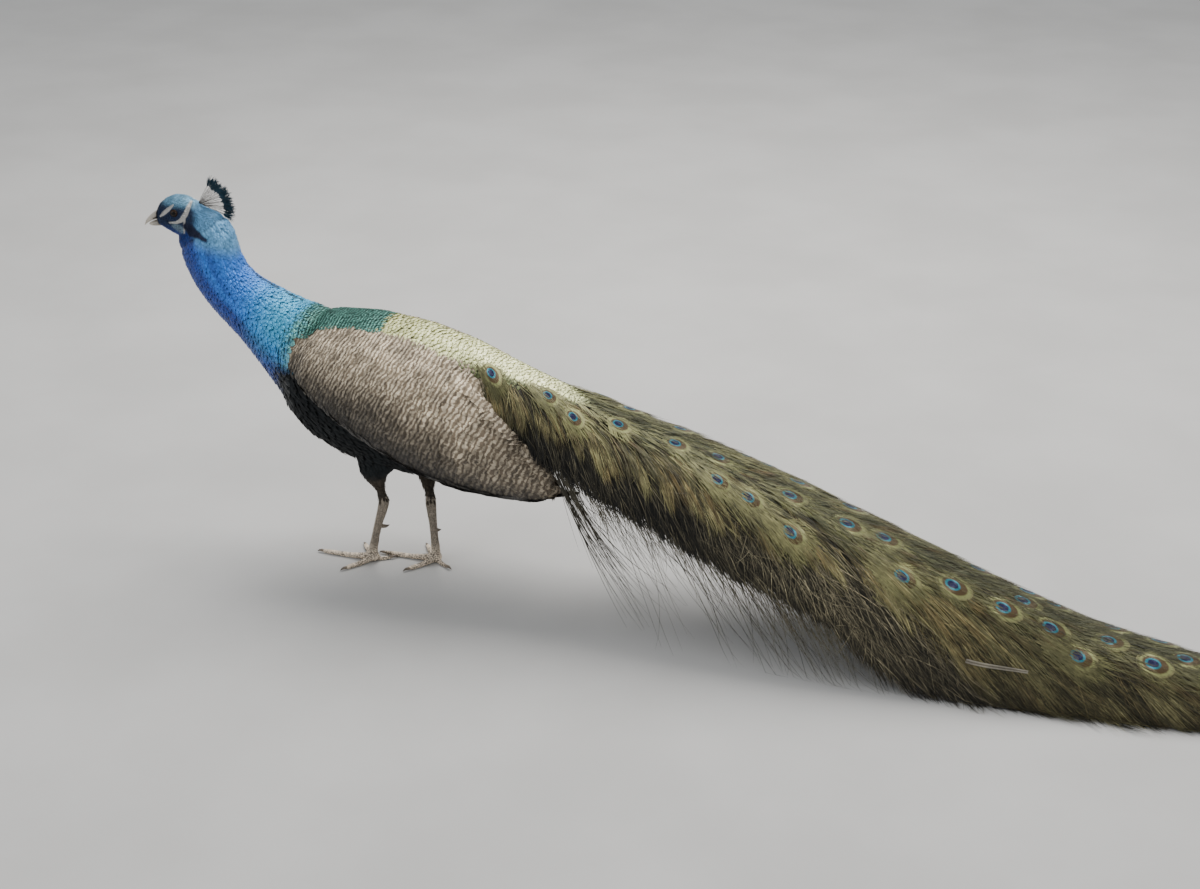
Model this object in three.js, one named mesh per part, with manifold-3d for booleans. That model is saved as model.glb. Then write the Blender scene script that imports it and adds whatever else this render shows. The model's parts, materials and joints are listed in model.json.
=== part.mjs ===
// A life-size standing peacock (Indian peafowl cock) with its long train folded and laid out behind it.
// Millimetres. The head points along -X, the train along +X, +Y is the bird's right side and +Z is up.
// The bird is modelled round a point on the floor midway between its feet, and at the end the whole
// group is moved so that the origin is the bottom centre of its bounding box.
import * as THREE from "three";
import { mergeVertices } from "three/addons/utils/BufferGeometryUtils.js";
import Module from "manifold-3d";

const wasm = await Module();
wasm.setup();

// ---------------------------------------------------------------- driving dimensions
const GAP = 0.3; // clearance between neighbouring pieces
const FAR = 3000; // size of the blocks that cut the bird into pieces
const FINENESS = 0.08; // how far the slivers left by a cut may be moved to be rid of them

const EYE_RADIUS = 6.8;
const EYE_CENTRE = { x: -347, y: 17, z: 545 };
const HEAD_TURN = 14; // degrees to the bird's left
const HEAD_PIVOT = -318; // where along the bird the head turns

const CREST_CENTRE = { x: -310, z: 557 };
const CREST_LENGTH = 49;
const CREST_PLUMES = 12;
const CREST_FIRST = 58; // degrees above the horizon, towards the tail
const CREST_LAST = -20;
const CREST_SPREAD = 7; // degrees that the outermost plumes lean to each side

const WING_THICKNESS = 13;
const WING_EDGE_THICKNESS = 7;

const TRAIN_END = 1480;
const TRAIN_CUTS = [430, 780, 1130];
const TRAIN_HOLLOW = 0.25; // height of the hollow under the train, as a share of its height

const HEM_DROP = 0.04; // how far the train's edges hang below its hem line, as a share of its height

const TOE_LENGTHS = { inner: 49, middle: 86, outer: 49, hind: 27 };
const TOE_ANGLES = { inner: 54, middle: 3, outer: -50, hind: 152 }; // degrees from straight ahead
const TOE_RADIUS = 5;
const CLAW_LENGTH = 11;
const SOLE_DEPTH = 2; // how much of a round toe the floor cuts away
const ANKLE_HEIGHT = 15; // where the shank ends and the foot begins

const FEATHERS = new THREE.MeshStandardMaterial({ color: 0x14307a, roughness: 0.45, metalness: 0.3 });
const DARK_FEATHERS = new THREE.MeshStandardMaterial({ color: 0x121d18, roughness: 0.6, metalness: 0.1 });
const BARRED_FEATHERS = new THREE.MeshStandardMaterial({ color: 0x8d7f66, roughness: 0.7, metalness: 0 });
const TRAIN_FEATHERS = new THREE.MeshStandardMaterial({ color: 0x3c4a25, roughness: 0.5, metalness: 0.3 });
const TAIL_FEATHERS = new THREE.MeshStandardMaterial({ color: 0x3a2c1e, roughness: 0.75, metalness: 0 });
const LEG_SCALES = new THREE.MeshStandardMaterial({ color: 0x7a6f62, roughness: 0.6, metalness: 0 });
const HORN = new THREE.MeshStandardMaterial({ color: 0x8a8378, roughness: 0.45, metalness: 0 });
const EYEBALL = new THREE.MeshStandardMaterial({ color: 0x2a1608, roughness: 0.1, metalness: 0 });

// ---------------------------------------------------------------- ways of making a solid

// A closed body through rings of points, each end drawn in to the middle of its ring.
function loft(rings) {
  const sides = rings[0].length;
  const middle = (ring) =>
    ring.reduce((sum, p) => sum.add(p), new THREE.Vector3()).divideScalar(ring.length);
  const points = [middle(rings[0]), ...rings.flat(), middle(rings.at(-1))];
  const faces = [];
  const at = (ring, side) => 1 + ring * sides + (side % sides);
  for (let s = 0; s < sides; s++) {
    faces.push(0, at(0, s + 1), at(0, s));
    faces.push(points.length - 1, at(rings.length - 1, s), at(rings.length - 1, s + 1));
    for (let r = 0; r + 1 < rings.length; r++) {
      faces.push(at(r, s), at(r, s + 1), at(r + 1, s + 1));
      faces.push(at(r, s), at(r + 1, s + 1), at(r + 1, s));
    }
  }
  const geometry = new THREE.BufferGeometry().setFromPoints(points);
  geometry.setIndex(faces);
  return solid(geometry);
}

// A manifold-3d solid from a closed geometry, turned right side out.
function solid(geometry) {
  const bare = geometry.clone();
  bare.deleteAttribute("normal");
  bare.deleteAttribute("uv");
  const merged = mergeVertices(bare, 1e-3);
  const build = (triVerts) =>
    new wasm.Manifold(
      new wasm.Mesh({ numProp: 3, vertProperties: merged.attributes.position.array, triVerts }),
    );
  const made = build(new Uint32Array(merged.index.array));
  if (made.volume() > 0) return made;
  return build(new Uint32Array(merged.index.array).reverse());
}

// A smooth line in the bird's upright middle plane, through [x, z] points.
function line(points) {
  const curve = new THREE.CatmullRomCurve3(points.map(([x, z]) => new THREE.Vector3(x, 0, z)));
  return (t) => curve.getPoint(t);
}

// A smooth number along a body, through evenly spaced values.
function swell(values) {
  const last = values.length - 1;
  const curve = new THREE.SplineCurve(values.map((v, i) => new THREE.Vector2(i / last, v)));
  return (t) => Math.max(curve.getPoint(t).y, 0.05);
}

const signedPower = (value, power) => Math.sign(value) * Math.abs(value) ** power;

// A body between an upper and a lower line, halfWidth wide to each side. boxy over 1 squares its section,
// round 1 spaces its rings closely at both ends, and grow and growHeight thicken it.
function form({ upper, lower, halfWidth, steps, sides, boxy = 1, round = 1, grow = 0, growHeight = grow }) {
  const rings = [];
  for (let i = 0; i <= steps; i++) {
    const even = i / steps;
    const t = (1 - round) * even + (round * (1 - Math.cos(Math.PI * even))) / 2;
    const centre = upper(t).add(lower(t)).multiplyScalar(0.5);
    const rise = upper(t).sub(lower(t)).multiplyScalar(0.5);
    rise.setLength(Math.max(rise.length() + growHeight, 0.05));
    const width = Math.max(halfWidth(t) + grow, 0.05);
    const ring = [];
    for (let s = 0; s < sides; s++) {
      const angle = (2 * Math.PI * s) / sides;
      const across = signedPower(Math.cos(angle), 1 / boxy) * width;
      ring.push(
        centre.clone().addScaledVector(rise, signedPower(Math.sin(angle), 1 / boxy)).setY(across),
      );
    }
    rings.push(ring);
  }
  return loft(rings);
}

// A limb along 3-D points, with a radius along the bird and another across it at each point.
function limb({ path, radii, across = radii, steps, sides }) {
  const curve = new THREE.CatmullRomCurve3(path.map((p) => new THREE.Vector3(...p)));
  const along = swell(radii);
  const wide = swell(across);
  const rings = [];
  for (let i = 0; i <= steps; i++) {
    const t = i / steps;
    const tangent = curve.getTangent(t);
    const side = new THREE.Vector3(0, 1, 0).addScaledVector(tangent, -tangent.y).normalize();
    const front = new THREE.Vector3().crossVectors(side, tangent);
    const ring = [];
    for (let s = 0; s < sides; s++) {
      const angle = (2 * Math.PI * (s + 0.5)) / sides;
      ring.push(
        curve
          .getPoint(t)
          .addScaledVector(side, Math.cos(angle) * wide(t))
          .addScaledVector(front, Math.sin(angle) * along(t)),
      );
    }
    rings.push(ring);
  }
  return loft(rings);
}

function ball(x, y, z, radius, columns = 12, rows = 8) {
  return solid(new THREE.SphereGeometry(radius, columns, rows).translate(x, y, z));
}

// Everything on the side of a plane that its normal points to, half a gap clear of the plane.
function beyond(point, normal) {
  const towards = new THREE.Vector3(...normal).normalize();
  const block = new THREE.BoxGeometry(FAR, FAR, FAR).translate(0, 0, (FAR + GAP) / 2);
  block.applyQuaternion(new THREE.Quaternion().setFromUnitVectors(new THREE.Vector3(0, 0, 1), towards));
  return solid(block.translate(...point));
}

const opposite = ([x, y, z]) => [-x, -y, -z];

const leftSide = () => beyond([0, 0, 0], [0, -1, 0]);
const aboveFloor = () => solid(new THREE.BoxGeometry(FAR, FAR, FAR).translate(0, 0, FAR / 2));

// A mirror image across the bird's middle plane.
function mirrored(made) {
  const { numProp, vertProperties, triVerts } = made.getMesh();
  const flipped = vertProperties.map((v, i) => (i % numProp === 1 ? -v : v));
  return new wasm.Manifold(
    new wasm.Mesh({ numProp, vertProperties: flipped, triVerts: triVerts.slice().reverse() }),
  );
}

// ---------------------------------------------------------------- head, neck and trunk

const trunkLines = {
  upper: line([
    [-182, 322], [-160, 386], [-95, 414], [0, 417], [100, 400], [180, 368], [245, 328], [296, 284],
  ]),
  lower: line([
    [-182, 322], [-172, 260], [-125, 207], [-48, 177], [50, 169], [150, 158], [240, 180], [296, 284],
  ]),
  halfWidth: swell([0, 62, 90, 101, 99, 90, 66, 0]),
};

function makeTrunk(grow = 0) {
  return form({ ...trunkLines, steps: 14, sides: 18, grow });
}

function makeNeck(grow = 0) {
  return form({
    upper: line([
      [-70, 400], [-128, 413], [-162, 420], [-202, 437], [-238, 456],
      [-253, 485], [-257, 513], [-273, 538], [-303, 550],
    ]),
    lower: line([
      [-95, 228], [-160, 254], [-198, 296], [-244, 345], [-294, 389],
      [-328, 430], [-346, 472], [-350, 500], [-346, 522],
    ]),
    halfWidth: swell([48, 74, 66, 51, 42, 37, 34, 29, 16]),
    steps: 13,
    sides: 18,
    round: 0,
    grow,
  });
}

function makeHead(grow = 0) {
  return form({
    upper: line([
      [-381, 536], [-374, 553], [-359, 565], [-342, 569], [-324, 563], [-305, 549], [-290, 528],
    ]),
    lower: line([
      [-381, 536], [-377, 522], [-362, 513], [-346, 504], [-328, 499], [-306, 505], [-290, 528],
    ]),
    halfWidth: swell([3, 13, 20, 23, 23, 18, 3]),
    steps: 11,
    sides: 16,
    boxy: 1.08,
    grow,
  });
}

const headCut = { point: [-312, 0, 512], normal: [-0.62, 0, 0.78] };
const neckCut = { point: [-256, 0, 402], normal: [-0.68, 0, 0.73] };
const breastCut = { point: [-190, 0, 340], normal: [-0.86, 0, 0.5] };
const rumpCut = { point: [290, 0, 284], normal: [-1, 0, 0] };

// ---------------------------------------------------------------- bill, eyes and crest

function makeUpperBill() {
  return form({
    upper: line([[-364, 549], [-379, 543], [-390, 535], [-398, 526], [-401, 517]]),
    lower: line([[-364, 531], [-379, 529], [-388, 526], [-395, 522], [-401, 517]]),
    halfWidth: swell([9, 8.5, 6.5, 3.8, 0.6]),
    steps: 8,
    sides: 10,
    round: 0,
  });
}

function makeLowerBill() {
  return form({
    upper: line([[-364, 529.6], [-379, 527.8], [-387, 525.2], [-393, 521.8]]),
    lower: line([[-364, 519], [-379, 518], [-387, 517.4], [-393, 518.6]]),
    halfWidth: swell([8, 7.4, 5.4, 1.2]),
    steps: 6,
    sides: 10,
    round: 0,
  });
}

// One crest plume: a bare shaft that ends in a flat paddle.
function makePlume(degrees, lean) {
  const angle = THREE.MathUtils.degToRad(degrees);
  const aside = THREE.MathUtils.degToRad(lean);
  const way = new THREE.Vector3(
    Math.cos(angle) * Math.cos(aside),
    Math.sin(aside),
    Math.sin(angle) * Math.cos(aside),
  );
  const root = new THREE.Vector3(CREST_CENTRE.x, 0, CREST_CENTRE.z);
  const place = (share) => root.clone().addScaledVector(way, share * CREST_LENGTH).toArray();
  return limb({
    path: [place(0), place(0.35), place(0.66), place(0.74), place(0.9), place(1)],
    radii: [0.9, 0.7, 0.7, 2.2, 3.8, 1],
    across: [0.9, 0.7, 0.7, 0.9, 0.9, 0.6],
    steps: 6,
    sides: 4,
  });
}

function makeCrest() {
  let crest = ball(CREST_CENTRE.x, 0, CREST_CENTRE.z, 4, 8, 6);
  for (let i = 0; i < CREST_PLUMES; i++) {
    const share = i / (CREST_PLUMES - 1);
    const lean = CREST_SPREAD * ((i % 3) - 1);
    crest = crest.add(makePlume(CREST_FIRST + share * (CREST_LAST - CREST_FIRST), lean));
  }
  return crest;
}

// ---------------------------------------------------------------- wings

// The smooth pod that both folded wings lie on.
function makePod(grow, growHeight) {
  return form({
    upper: line([[-160, 350], [-124, 396], [-40, 412], [50, 406], [140, 382], [225, 345], [310, 310]]),
    lower: line([[-160, 350], [-140, 280], [-60, 208], [40, 162], [140, 148], [225, 150], [310, 162]]),
    halfWidth: swell([0, 86, 112, 117, 112, 99, 80]),
    steps: 11,
    sides: 22,
    round: 0.5,
    grow,
    growHeight,
  });
}

// The side outline of a folded wing, as a block right through the bird.
function wingOutline(margin) {
  const shape = new THREE.Shape();
  shape.moveTo(-152, 352);
  shape.splineThru(
    [[-132, 386], [-80, 400], [0, 402], [80, 386], [150, 352], [212, 302], [260, 258]].map(
      ([x, z]) => new THREE.Vector2(x, z),
    ),
  );
  shape.quadraticCurveTo(286, 236, 287, 210);
  shape.quadraticCurveTo(277, 182, 242, 177);
  shape.splineThru(
    [[190, 183], [110, 200], [25, 238], [-60, 287], [-118, 326], [-152, 352]].map(
      ([x, z]) => new THREE.Vector2(x, z),
    ),
  );
  const middle = new THREE.Vector2(70, 300);
  const grown = shape.getPoints(2).map((p) => {
    const away = p.clone().sub(middle);
    return p.clone().add(away.setLength(margin));
  });
  const block = new THREE.ExtrudeGeometry(new THREE.Shape(grown), { depth: 2 * FAR, bevelEnabled: false });
  block.translate(0, 0, -FAR).rotateX(Math.PI / 2);
  return solid(block);
}

function makeWing(clearance) {
  const outer = makePod(clearance, clearance);
  const inner = makePod(-WING_THICKNESS - clearance, -WING_EDGE_THICKNESS - clearance);
  return outer.subtract(inner).intersect(wingOutline(clearance)).intersect(leftSide());
}

const wingCut = { point: [118, 0, 290], normal: [0.86, 0, -0.5] };

// ---------------------------------------------------------------- tail and train

function makeTail(grow = 0) {
  const rings = [];
  const upper = line([[214, 300], [330, 262], [460, 214], [590, 168]]);
  const halfWidth = swell([20, 56, 72, 66]);
  const thickness = swell([16, 14, 10, 5]);
  const steps = 8;
  const across = 9;
  for (let i = 0; i <= steps; i++) {
    const t = i / steps;
    const spine = upper(t);
    const ring = [];
    for (let s = 0; s < 2 * across; s++) {
      const under = s >= across;
      const share = (under ? 2 * across - 1 - s : s) / (across - 1);
      const y = (share * 2 - 1) * (halfWidth(t) + grow);
      const droop = 26 * t * (share * 2 - 1) ** 2;
      const level = under ? -thickness(t) - grow : grow;
      ring.push(new THREE.Vector3(spine.x + grow * (2 * t - 1) - droop, y, spine.z - droop + level));
    }
    rings.push(ring);
  }
  return loft(rings);
}

const trainLines = {
  top: line([
    [128, 394], [230, 352], [330, 318], [480, 276], [630, 226], [780, 176],
    [920, 128], [1050, 88], [1200, 66], [1350, 42], [TRAIN_END, 9],
  ]),
  hem: line([
    [150, 336], [230, 276], [330, 232], [480, 178], [630, 122], [780, 58],
    [920, 12], [1050, 1], [1200, 1], [1350, 1], [TRAIN_END, 1],
  ]),
  halfWidth: swell([54, 78, 94, 112, 120, 118, 108, 92, 75, 54, 14]),
};

// The train is an arch of feathers: an upper skin from hem to hem and a hollow under it.
function makeTrain() {
  const steps = 26;
  const sides = 16;
  const rings = [];
  for (let i = 0; i <= steps; i++) {
    const t = i / steps;
    const hem = trainLines.hem(t);
    const rise = trainLines.top(t).sub(hem);
    const ring = [];
    for (let s = 0; s < sides; s++) {
      const angle = (2 * Math.PI * s) / sides;
      const lift = Math.sin(angle);
      const height = lift > 0 ? lift : TRAIN_HOLLOW * Math.abs(lift) ** 3 - HEM_DROP;
      const y = Math.cos(angle) * trainLines.halfWidth(t);
      ring.push(hem.clone().addScaledVector(rise, height).setY(y));
    }
    rings.push(ring);
  }
  return loft(rings);
}

// ---------------------------------------------------------------- legs

// Each leg: where its joints are, from inside the body to the floor. The left foot is a step ahead.
const LEGS = {
  left: {
    side: -1,
    turn: -5,
    joints: [[4, 50, 236], [-22, 42, 180], [-21, 29, 143], [-19, 22, 118]],
    foot: [-45, 15],
  },
  right: {
    side: 1,
    turn: 0,
    joints: [[46, 50, 232], [30, 38, 158], [36, 26, 124], [41, 21, 107]],
    foot: [49, 15],
  },
};
const THIGH_DEPTHS = [46, 26, 12, 9];
const THIGH_WIDTHS = [30, 22, 11, 8];

const withSide = ([x, y, z], side) => [x, y * side, z];

// The bare leg starts just above the hock, where the thigh's feathers end.
const hockCut = ({ joints }) => ({ point: [0, 0, joints.at(-1)[2] + 3], normal: [0, 0, 1] });

function makeThigh(leg) {
  const { point, normal } = hockCut(leg);
  return limb({
    path: leg.joints.map((p) => withSide(p, leg.side)),
    radii: THIGH_DEPTHS,
    across: THIGH_WIDTHS,
    steps: 8,
    sides: 12,
  }).intersect(beyond(point, normal));
}

function makeShank(leg, grow = 0) {
  const { side, joints, foot } = leg;
  const [x, y] = foot;
  const [hx, hy, hz] = joints.at(-1);
  const between = (share, height) => [hx + (x - hx) * share, (hy + (y - hy) * share) * side, height];
  const { point, normal } = hockCut(leg);
  return limb({
    path: [
      between(0, hz + 8),
      between(0, hz - 8),
      between(0.4, hz * 0.66),
      between(0.8, hz * 0.36),
      between(1, 20),
      between(1, 8),
    ],
    radii: [8, 9, 7, 6.6, 7.6, 8.4].map((radius) => radius + grow),
    across: [7.4, 7.8, 5.8, 5.4, 6.6, 8].map((radius) => radius + grow),
    steps: 10,
    sides: 10,
  })
    .intersect(beyond(point, opposite(normal)))
    .intersect(beyond([0, 0, ANKLE_HEIGHT], [0, 0, 1]));
}

function toeWay(name, { side, turn }) {
  const angle = THREE.MathUtils.degToRad(TOE_ANGLES[name] + turn) * side;
  return new THREE.Vector3(-Math.cos(angle), -Math.sin(angle), 0);
}

function makeToe(name, leg) {
  const { side, foot: [x, y] } = leg;
  const way = toeWay(name, leg);
  const length = TOE_LENGTHS[name];
  const scale = name === "hind" ? 0.8 : 1;
  const place = (share, height) => [x + way.x * share * length, y * side + way.y * share * length, height];
  const radius = TOE_RADIUS * scale;
  const low = radius - SOLE_DEPTH;
  return limb({
    path: [place(0, 9), place(0.28, low + 2), place(0.5, low), place(0.74, low), place(1, low + 0.4)],
    radii: [7, 5.4, 4.6, 4.6, 3.4].map((r) => r * scale),
    across: [7, 5, 4.6, 4.6, 3.4].map((r) => r * scale),
    steps: 5,
    sides: 7,
  });
}

function makeFoot(leg) {
  const [x, y] = leg.foot;
  let foot = ball(x, y * leg.side, 9, 9.8, 10, 6);
  for (const name of Object.keys(TOE_LENGTHS)) foot = foot.add(makeToe(name, leg));
  return foot.intersect(aboveFloor()).intersect(beyond([0, 0, ANKLE_HEIGHT], [0, 0, -1]));
}

function makeClaw(name, leg) {
  const { side, foot: [x, y] } = leg;
  const way = toeWay(name, leg);
  const place = (distance, height) => [x + way.x * distance, y * side + way.y * distance, height];
  const start = TOE_LENGTHS[name] + GAP;
  return limb({
    path: [place(start, 3.4), place(start + CLAW_LENGTH * 0.55, 4), place(start + CLAW_LENGTH, 1.2)],
    radii: [2.6, 2.2, 0.4],
    steps: 3,
    sides: 6,
  });
}

function makeSpur({ side, joints, foot: [x, y] }) {
  const [hx, , hz] = joints.at(-1);
  const root = hx + (x - hx) * 0.5 + 2;
  const height = hz * 0.55;
  return limb({
    path: [
      [root, y * side, height],
      [root + 8, (y - 2) * side, height],
      [root + 14, (y - 3) * side, height + 3],
    ],
    radii: [4, 3, 0.6],
    steps: 4,
    sides: 6,
  });
}

// ---------------------------------------------------------------- fitting the pieces to each other

const pieces = new Map();
function keep(name, made, material) {
  pieces.set(name, { made, material });
}

// The head's own pieces are made looking straight ahead, then turned with it.
function turned(made) {
  return made.translate([-HEAD_PIVOT, 0, 0]).rotate([0, 0, HEAD_TURN]).translate([HEAD_PIVOT, 0, 0]);
}

const wing = { left: makeWing(0), leftCutter: makeWing(GAP) };
wing.right = mirrored(wing.left);
wing.rightCutter = mirrored(wing.leftCutter);
const bothWings = wing.leftCutter.add(wing.rightCutter);
const trunkCutter = makeTrunk(2 * GAP);
const tail = makeTail();

let flesh = makeTrunk().add(makeNeck()).add(turned(makeHead()));
flesh = flesh.subtract(bothWings).intersect(beyond(rumpCut.point, rumpCut.normal));

for (const [name, side] of [["left", -1], ["right", 1]]) {
  const { x, y, z } = EYE_CENTRE;
  flesh = flesh.subtract(turned(ball(x, y * side, z, EYE_RADIUS + GAP)));
  keep("eye_" + name, turned(ball(x, y * side, z, EYE_RADIUS)), EYEBALL);
}
const headCutter = turned(makeHead(GAP));
const neckCutter = makeNeck(GAP);
keep("upper_bill", turned(makeUpperBill()).subtract(headCutter), HORN);
keep("lower_bill", turned(makeLowerBill()).subtract(headCutter), HORN);
keep("crest", turned(makeCrest()).subtract(headCutter).subtract(neckCutter), FEATHERS);

const train = makeTrain()
  .subtract(bothWings)
  .subtract(trunkCutter)
  .subtract(makeTail(GAP))
  .intersect(aboveFloor());

const legs = {};
for (const [name, leg] of Object.entries(LEGS)) {
  legs[name] = {
    thigh: makeThigh(leg).subtract(trunkCutter).subtract(bothWings),
    shank: makeShank(leg),
    spur: makeSpur(leg).subtract(makeShank(leg, GAP)),
    foot: makeFoot(leg),
  };
}

const { point: headPoint, normal: headNormal } = headCut;
const { point: neckPoint, normal: neckNormal } = neckCut;
const { point: breastPoint, normal: breastNormal } = breastCut;
keep("head", flesh.intersect(beyond(headPoint, headNormal)), FEATHERS);
keep(
  "neck_upper",
  flesh.intersect(beyond(headPoint, opposite(headNormal))).intersect(beyond(neckPoint, neckNormal)),
  FEATHERS,
);
keep(
  "neck_lower",
  flesh.intersect(beyond(neckPoint, opposite(neckNormal))).intersect(beyond(breastPoint, breastNormal)),
  FEATHERS,
);
keep("trunk", flesh.intersect(beyond(breastPoint, opposite(breastNormal))), DARK_FEATHERS);

for (const side of ["left", "right"]) {
  const coverts = wing[side].intersect(beyond(wingCut.point, opposite(wingCut.normal)));
  const quills = wing[side].intersect(beyond(wingCut.point, wingCut.normal));
  keep("wing_" + side, coverts, BARRED_FEATHERS);
  keep("flight_feathers_" + side, quills, BARRED_FEATHERS);
}

keep("tail", tail.intersect(beyond(rumpCut.point, opposite(rumpCut.normal))), TAIL_FEATHERS);
const trainEdges = [-FAR / 2, ...TRAIN_CUTS, FAR];
for (let i = 0; i + 1 < trainEdges.length; i++) {
  const length = train
    .intersect(beyond([trainEdges[i], 0, 0], [1, 0, 0]))
    .intersect(beyond([trainEdges[i + 1], 0, 0], [-1, 0, 0]));
  keep("train_" + (i + 1), length, TRAIN_FEATHERS);
}

for (const [name, leg] of Object.entries(LEGS)) {
  const { thigh, shank, spur, foot } = legs[name];
  keep("thigh_" + name, thigh, DARK_FEATHERS);
  keep("shank_" + name, shank, LEG_SCALES);
  keep("spur_" + name, spur, HORN);
  keep("foot_" + name, foot, LEG_SCALES);
  for (const toe of Object.keys(TOE_LENGTHS)) {
    keep("claw_" + toe + "_" + name, makeClaw(toe, leg).intersect(aboveFloor()), HORN);
  }
}

// ---------------------------------------------------------------- the finished bird

// The largest connected body of a solid, so that no sliver of a cut is left beside it.
function main(made) {
  return made.decompose().reduce((a, b) => (a.volume() > b.volume() ? a : b));
}

function meshOf(name, { made, material }) {
  const { numProp, vertProperties, triVerts } = main(made.simplify(FINENESS)).getMesh();
  const positions = [];
  for (let i = 0; i < vertProperties.length; i += numProp)
    positions.push(...vertProperties.subarray(i, i + 3));
  const geometry = new THREE.BufferGeometry();
  geometry.setAttribute("position", new THREE.Float32BufferAttribute(positions, 3));
  geometry.setIndex([...triVerts]);
  geometry.computeVertexNormals();
  const mesh = new THREE.Mesh(geometry, material);
  mesh.name = name;
  return mesh;
}

const bird = new THREE.Group();
for (const [name, piece] of pieces) bird.add(meshOf(name, piece));
const bounds = new THREE.Box3().setFromObject(bird);
bird.position.set(-(bounds.min.x + bounds.max.x) / 2, -(bounds.min.y + bounds.max.y) / 2, -bounds.min.z);

const peacock = new THREE.Group();
peacock.add(bird);

export default peacock;
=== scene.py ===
import functools
import json
import math

import bpy
import numpy as np
from mathutils import Matrix, Vector
from mathutils.bvhtree import BVHTree
from mathutils.kdtree import KDTree

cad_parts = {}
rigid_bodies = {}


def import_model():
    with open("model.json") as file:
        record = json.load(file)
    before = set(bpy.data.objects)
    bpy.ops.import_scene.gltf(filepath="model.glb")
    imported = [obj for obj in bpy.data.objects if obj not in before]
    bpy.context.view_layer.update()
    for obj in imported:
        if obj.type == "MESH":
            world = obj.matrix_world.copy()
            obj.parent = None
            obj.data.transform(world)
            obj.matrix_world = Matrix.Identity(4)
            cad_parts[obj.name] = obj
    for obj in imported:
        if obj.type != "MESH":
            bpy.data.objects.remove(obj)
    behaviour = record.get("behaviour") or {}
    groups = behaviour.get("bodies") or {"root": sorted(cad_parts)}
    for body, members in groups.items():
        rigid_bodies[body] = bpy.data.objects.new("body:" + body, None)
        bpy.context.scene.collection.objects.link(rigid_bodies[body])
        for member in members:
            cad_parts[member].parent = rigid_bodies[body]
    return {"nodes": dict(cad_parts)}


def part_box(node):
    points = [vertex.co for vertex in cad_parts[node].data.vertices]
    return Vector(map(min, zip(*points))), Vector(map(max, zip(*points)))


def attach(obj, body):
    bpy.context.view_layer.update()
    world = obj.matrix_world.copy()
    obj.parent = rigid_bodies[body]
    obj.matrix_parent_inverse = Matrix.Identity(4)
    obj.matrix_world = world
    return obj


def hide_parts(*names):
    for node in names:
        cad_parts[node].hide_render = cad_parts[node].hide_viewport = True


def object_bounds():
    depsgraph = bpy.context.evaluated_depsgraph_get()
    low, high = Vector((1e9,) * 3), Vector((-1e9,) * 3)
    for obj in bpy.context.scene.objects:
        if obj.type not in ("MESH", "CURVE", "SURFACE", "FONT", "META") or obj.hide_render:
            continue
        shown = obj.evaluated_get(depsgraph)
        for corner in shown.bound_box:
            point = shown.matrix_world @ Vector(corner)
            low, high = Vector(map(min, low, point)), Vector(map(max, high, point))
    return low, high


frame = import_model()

bl_info = {
    "name": "Peacock",
    "version": (1, 0, 0),
    "blender": (4, 5, 0),
    "location": "View3D > Sidebar > Peacock",
    "description": "Dresses the solids of a life-size standing peacock in skin, feathers and scales",
    "category": "Add Mesh",
}

CAD_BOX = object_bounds()
MM = 0.001

# Places named in millimetres are in the bird's own frame: x runs from bill to train, z is up, and the
# origin is the point on the floor that the bird stands over.
TRAIN_END = 1480.0
STANCE = np.array([CAD_BOX[1].x / MM - TRAIN_END, 0.0, 0.0])
SIDES = {"left": -1, "right": 1}  # and the way that y runs on each side
FLESH = ["head", "neck_upper", "neck_lower", "trunk"]
for part in ("wing", "flight_feathers", "thigh", "shank", "foot"):
    FLESH += [f"{part}_{side}" for side in SIDES]
TRAIN = ["train_1", "train_2", "train_3", "train_4"]
TOES = ("inner", "middle", "outer", "hind")
MID_NECK = 452.0  # the height where the fine skin of the head meets the coarser one of the body
PATCH = 0.003  # the size of a feather's patch in the map for baking
FOOT_REACH = (0.110, 0.065, 0.020)  # how far the toes reach from under the ankle, in metres
FLOOR_GAP = 1.5  # how close the train comes to the floor
TRAIN_SPREAD = 128  # and how far it may spread to each side

# The camera: its place, its lens, how far it is tilted up from looking straight down, and its turn.
CAMERA_PLACE = (1225.9, -2495.4, 1533.6)
CAMERA_LENS = 60
CAMERA_TILT = math.radians(64.30)
CAMERA_TURN = math.radians(19.78)

# The head looks a little to the left: it is turned about an upright line through the back of the skull.
HEAD_TURN = math.radians(14)
HEAD_PIVOT = -318.0
# In the unturned head: the centre of the eye (x, z), the radius kept free of feathers round it, the tip of
# the feathers at the bill (x, z), and the root of the crest.
EYE_CENTRE = (-347, 545)
EYE_OPENING = 8.6
BILL_BASE = (-386, 528)
CREST_ROOT = (-310.0, 0.0, 555.0)

# The line that feathers follow, from the face down the neck, along the back and down the train (x, z).
LIE = [
    (-385, 530), (-345, 540), (-318, 528), (-305, 500), (-294, 462), (-266, 423), (-223, 388), (-172, 352),
    (-110, 325), (0, 305), (110, 286), (230, 262), (480, 190), (780, 100), (1050, 44), (1480, 5),
]
# The upper and the lower edge of a folded wing (x, z).
WING_TOP = [(-152, 372), (0, 400), (150, 350), (282, 232)]
WING_EDGE = [(-152, 340), (-60, 287), (110, 200), (282, 178)]
# The train: its ridge, its hem and its half width along the bird.
TRAIN_TOP = [
    (100, 402), (165, 380), (230, 352), (330, 318), (480, 276), (630, 226), (780, 176), (920, 128),
    (1050, 88), (1200, 66), (1350, 42), (1480, 9),
]
TRAIN_HEM = [
    (100, 340), (165, 325), (230, 276), (330, 232), (480, 178), (630, 122), (780, 58), (920, 12),
    (1050, 2), (1480, 2),
]
TRAIN_HALF_WIDTH = [
    (100, 50), (165, 62), (230, 76), (330, 95), (480, 112), (630, 120), (780, 118), (920, 108),
    (1050, 92), (1200, 74), (1350, 52), (1480, 12),
]
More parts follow.
